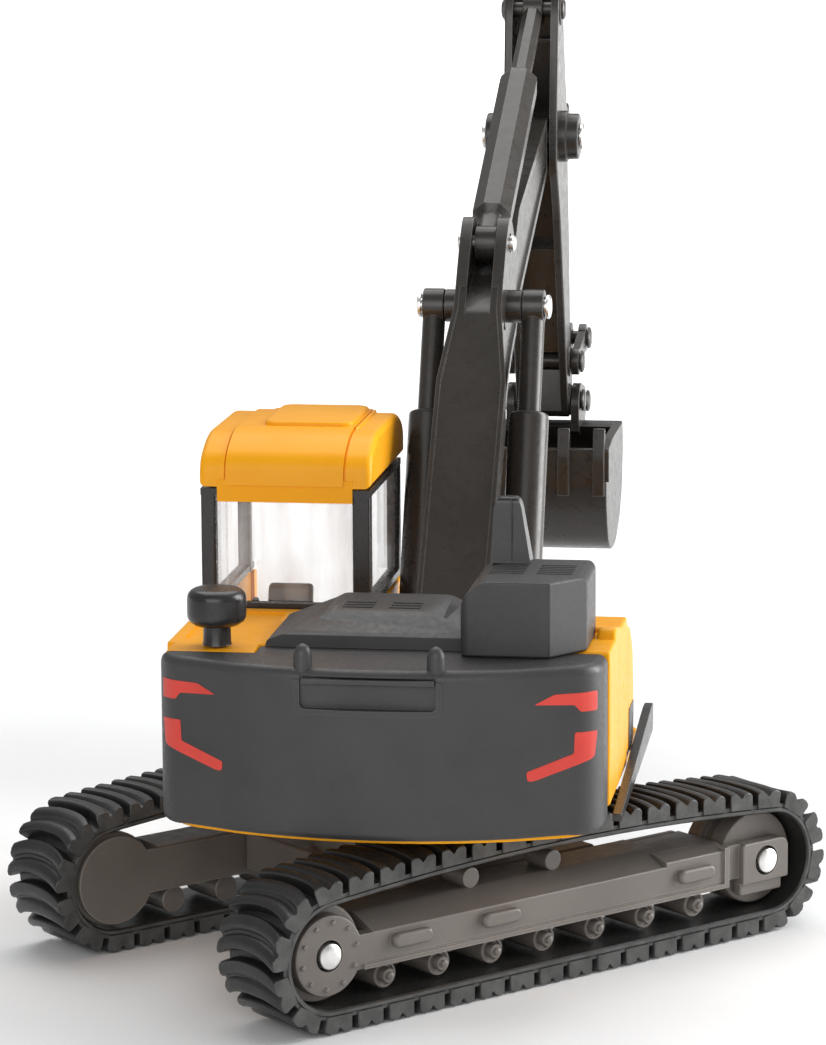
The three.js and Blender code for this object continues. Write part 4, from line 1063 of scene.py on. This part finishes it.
def headed_pin(node, body, at, half, head=1.7, slot="arm_plastic"):
    """Rivet with a slightly domed head on each end."""
    thickness = 0.6
    reach = half + thickness
    dome = [(0, head * 0.6), (0.12, head * 0.86), (0.3, head), (thickness, head), (thickness, PIN_R)]
    profile = dome + [(2 * reach - d, radius) for d, radius in reversed(dome)]
    mesh = turned(arm_point(at, -reach), arm_point(at, reach), profile, 40)
    piece(f"{node}_turned", body, mesh, slot, [node], 0)


def pins():
    headed_pin("boom_foot_pin", "house", BOOM_FOOT, 7.1, slot="steel")
    headed_pin("lift_foot_pin", "house", LIFT_FOOT, 8.85, slot="steel")
    headed_pin("lift_top_pin", "boom", LIFT_TOP, 8.85, slot="steel")
    headed_pin("crowd_foot_pin", "boom", CROWD_FOOT, 3.5, 1.15, slot="steel")
    headed_pin("boom_tip_pin", "boom", BOOM_TIP, 7.3, 2, slot="steel")
    headed_pin("crowd_top_pin", "stick", CROWD_TOP, 4.3, 1.5)
    headed_pin("tilt_foot_pin", "stick", TILT_FOOT, 3.4, 1.4)
    headed_pin("rocker_pin", "stick", ROCKER_PIN, 5.9)
    headed_pin("bucket_pin", "stick", BUCKET_PIN, 5.95)
    headed_pin("rocker_tip_pin", "rocker", ROCKER_TIP, 5.9)
    headed_pin("bucket_link_pin", "bucket", BUCKET_LINK, 5.95)


# ---- camera, light and floor
CAMERA_AT = (-339.74, -431.22, 155.33)
CAMERA_LENS = 145.6
CAMERA_ANGLES = (0.9046, 0.179, 0.006)   # yaw, pitch down and roll
# Name, offset from the toy's middle to the right, ahead and up in metres, size, power
LIGHTS = [("key", (0.6, 0.1, 0.14), (0.35, 0.6), 6.4),
          ("front", (-0.2, -0.9, 0.3), (0.9, 0.6), 4),
          ("top", (0, 0.34, 0.75), (0.9, 0.8), 5)]
WORLD_STRENGTH = 0.36
FLOOR_GLOW = 1.5
GLOW_START, GLOW_END = 0.1, 1.3          # metres behind the toy's middle


def camera():
    """A long lens to the rear right of the undercarriage, a little above the toy."""
    data = bpy.data.cameras.new("camera")
    data.lens = CAMERA_LENS
    data.clip_start, data.clip_end = 0.05, 20
    holder = linked("camera", data)
    yaw, pitch, roll = CAMERA_ANGLES
    holder.location = CHASSIS @ Vector(CAMERA_AT)
    look = Matrix.Rotation(yaw - math.pi / 2, 3, "Z") @ Matrix.Rotation(math.pi / 2 - pitch, 3, "X")
    holder.rotation_euler = (look @ Matrix.Rotation(-roll, 3, "Z")).to_euler()
    bpy.context.scene.camera = holder
    return holder


def area_light(name, place, target, size, power):
    data = bpy.data.lights.new(name, "AREA")
    data.shape = "RECTANGLE"
    data.size, data.size_y = size
    data.energy = power
    holder = linked(name, data)
    holder.location = place
    holder.rotation_euler = (target - place).to_track_quat("-Z", "Y").to_euler()


def floor(near, ahead):
    """Flat white ground that glows more and more behind the toy."""
    material = surface("floor", (0.82, 0.825, 0.83), (0.85, 0.855, 0.86), 0.6, 3, 40, 0.02, 0.01)
    tree = material.node_tree
    place = tree.nodes.new("ShaderNodeNewGeometry").outputs["Position"]
    distance = tree.nodes.new("ShaderNodeVectorMath")
    distance.operation = "DOT_PRODUCT"
    distance.inputs[1].default_value = ahead
    tree.links.new(place, distance.inputs[0])
    start = near.dot(ahead)
    glow = mapped(tree, distance.outputs["Value"], 0, FLOOR_GLOW, start + GLOW_START, start + GLOW_END)
    shader = tree.nodes["Principled BSDF"]
    shader.inputs["Emission Color"].default_value = (1, 1, 1, 1)
    tree.links.new(glow, shader.inputs["Emission Strength"])
    work = bmesh.new()
    bmesh.ops.create_grid(work, x_segments=1, y_segments=1, size=8)
    mesh = meshed(work)
    mesh.materials.append(material)
    plane = linked("floor", mesh)
    plane.location.z = -0.0001


def studio():
    world = bpy.data.worlds.new("studio")
    world.use_nodes = True
    background = world.node_tree.nodes["Background"]
    background.inputs["Color"].default_value = (1, 1, 1, 1)
    background.inputs["Strength"].default_value = WORLD_STRENGTH
    bpy.context.scene.world = world
    eye = camera()
    turn = eye.matrix_basis.to_3x3()
    right = turn @ Vector((1, 0, 0))
    ahead = turn @ Vector((0, 0, -1))
    ahead = Vector((ahead.x, ahead.y, 0)).normalized()
    up = Vector((0, 0, 1))
    target = (cad_box[0] + cad_box[1]) / 2
    for name, (to_right, on, over), size, power in LIGHTS:
        area_light(name, target + right * to_right + ahead * on + up * over, target, size, power)
    bpy.context.scene.view_settings.view_transform = "Standard"
    floor(target, ahead)


studio()
undercarriage()
counterweight()
reflectors()
engine_cover()
exhaust()
precleaner()
swing_frame()
body_shell()
side_step()
cab_frame()
cab_glazing()
cab_body()
cab_roof()
cab_interior()
boom()
cylinders()
stick()
linkage()
bucket()
pins()
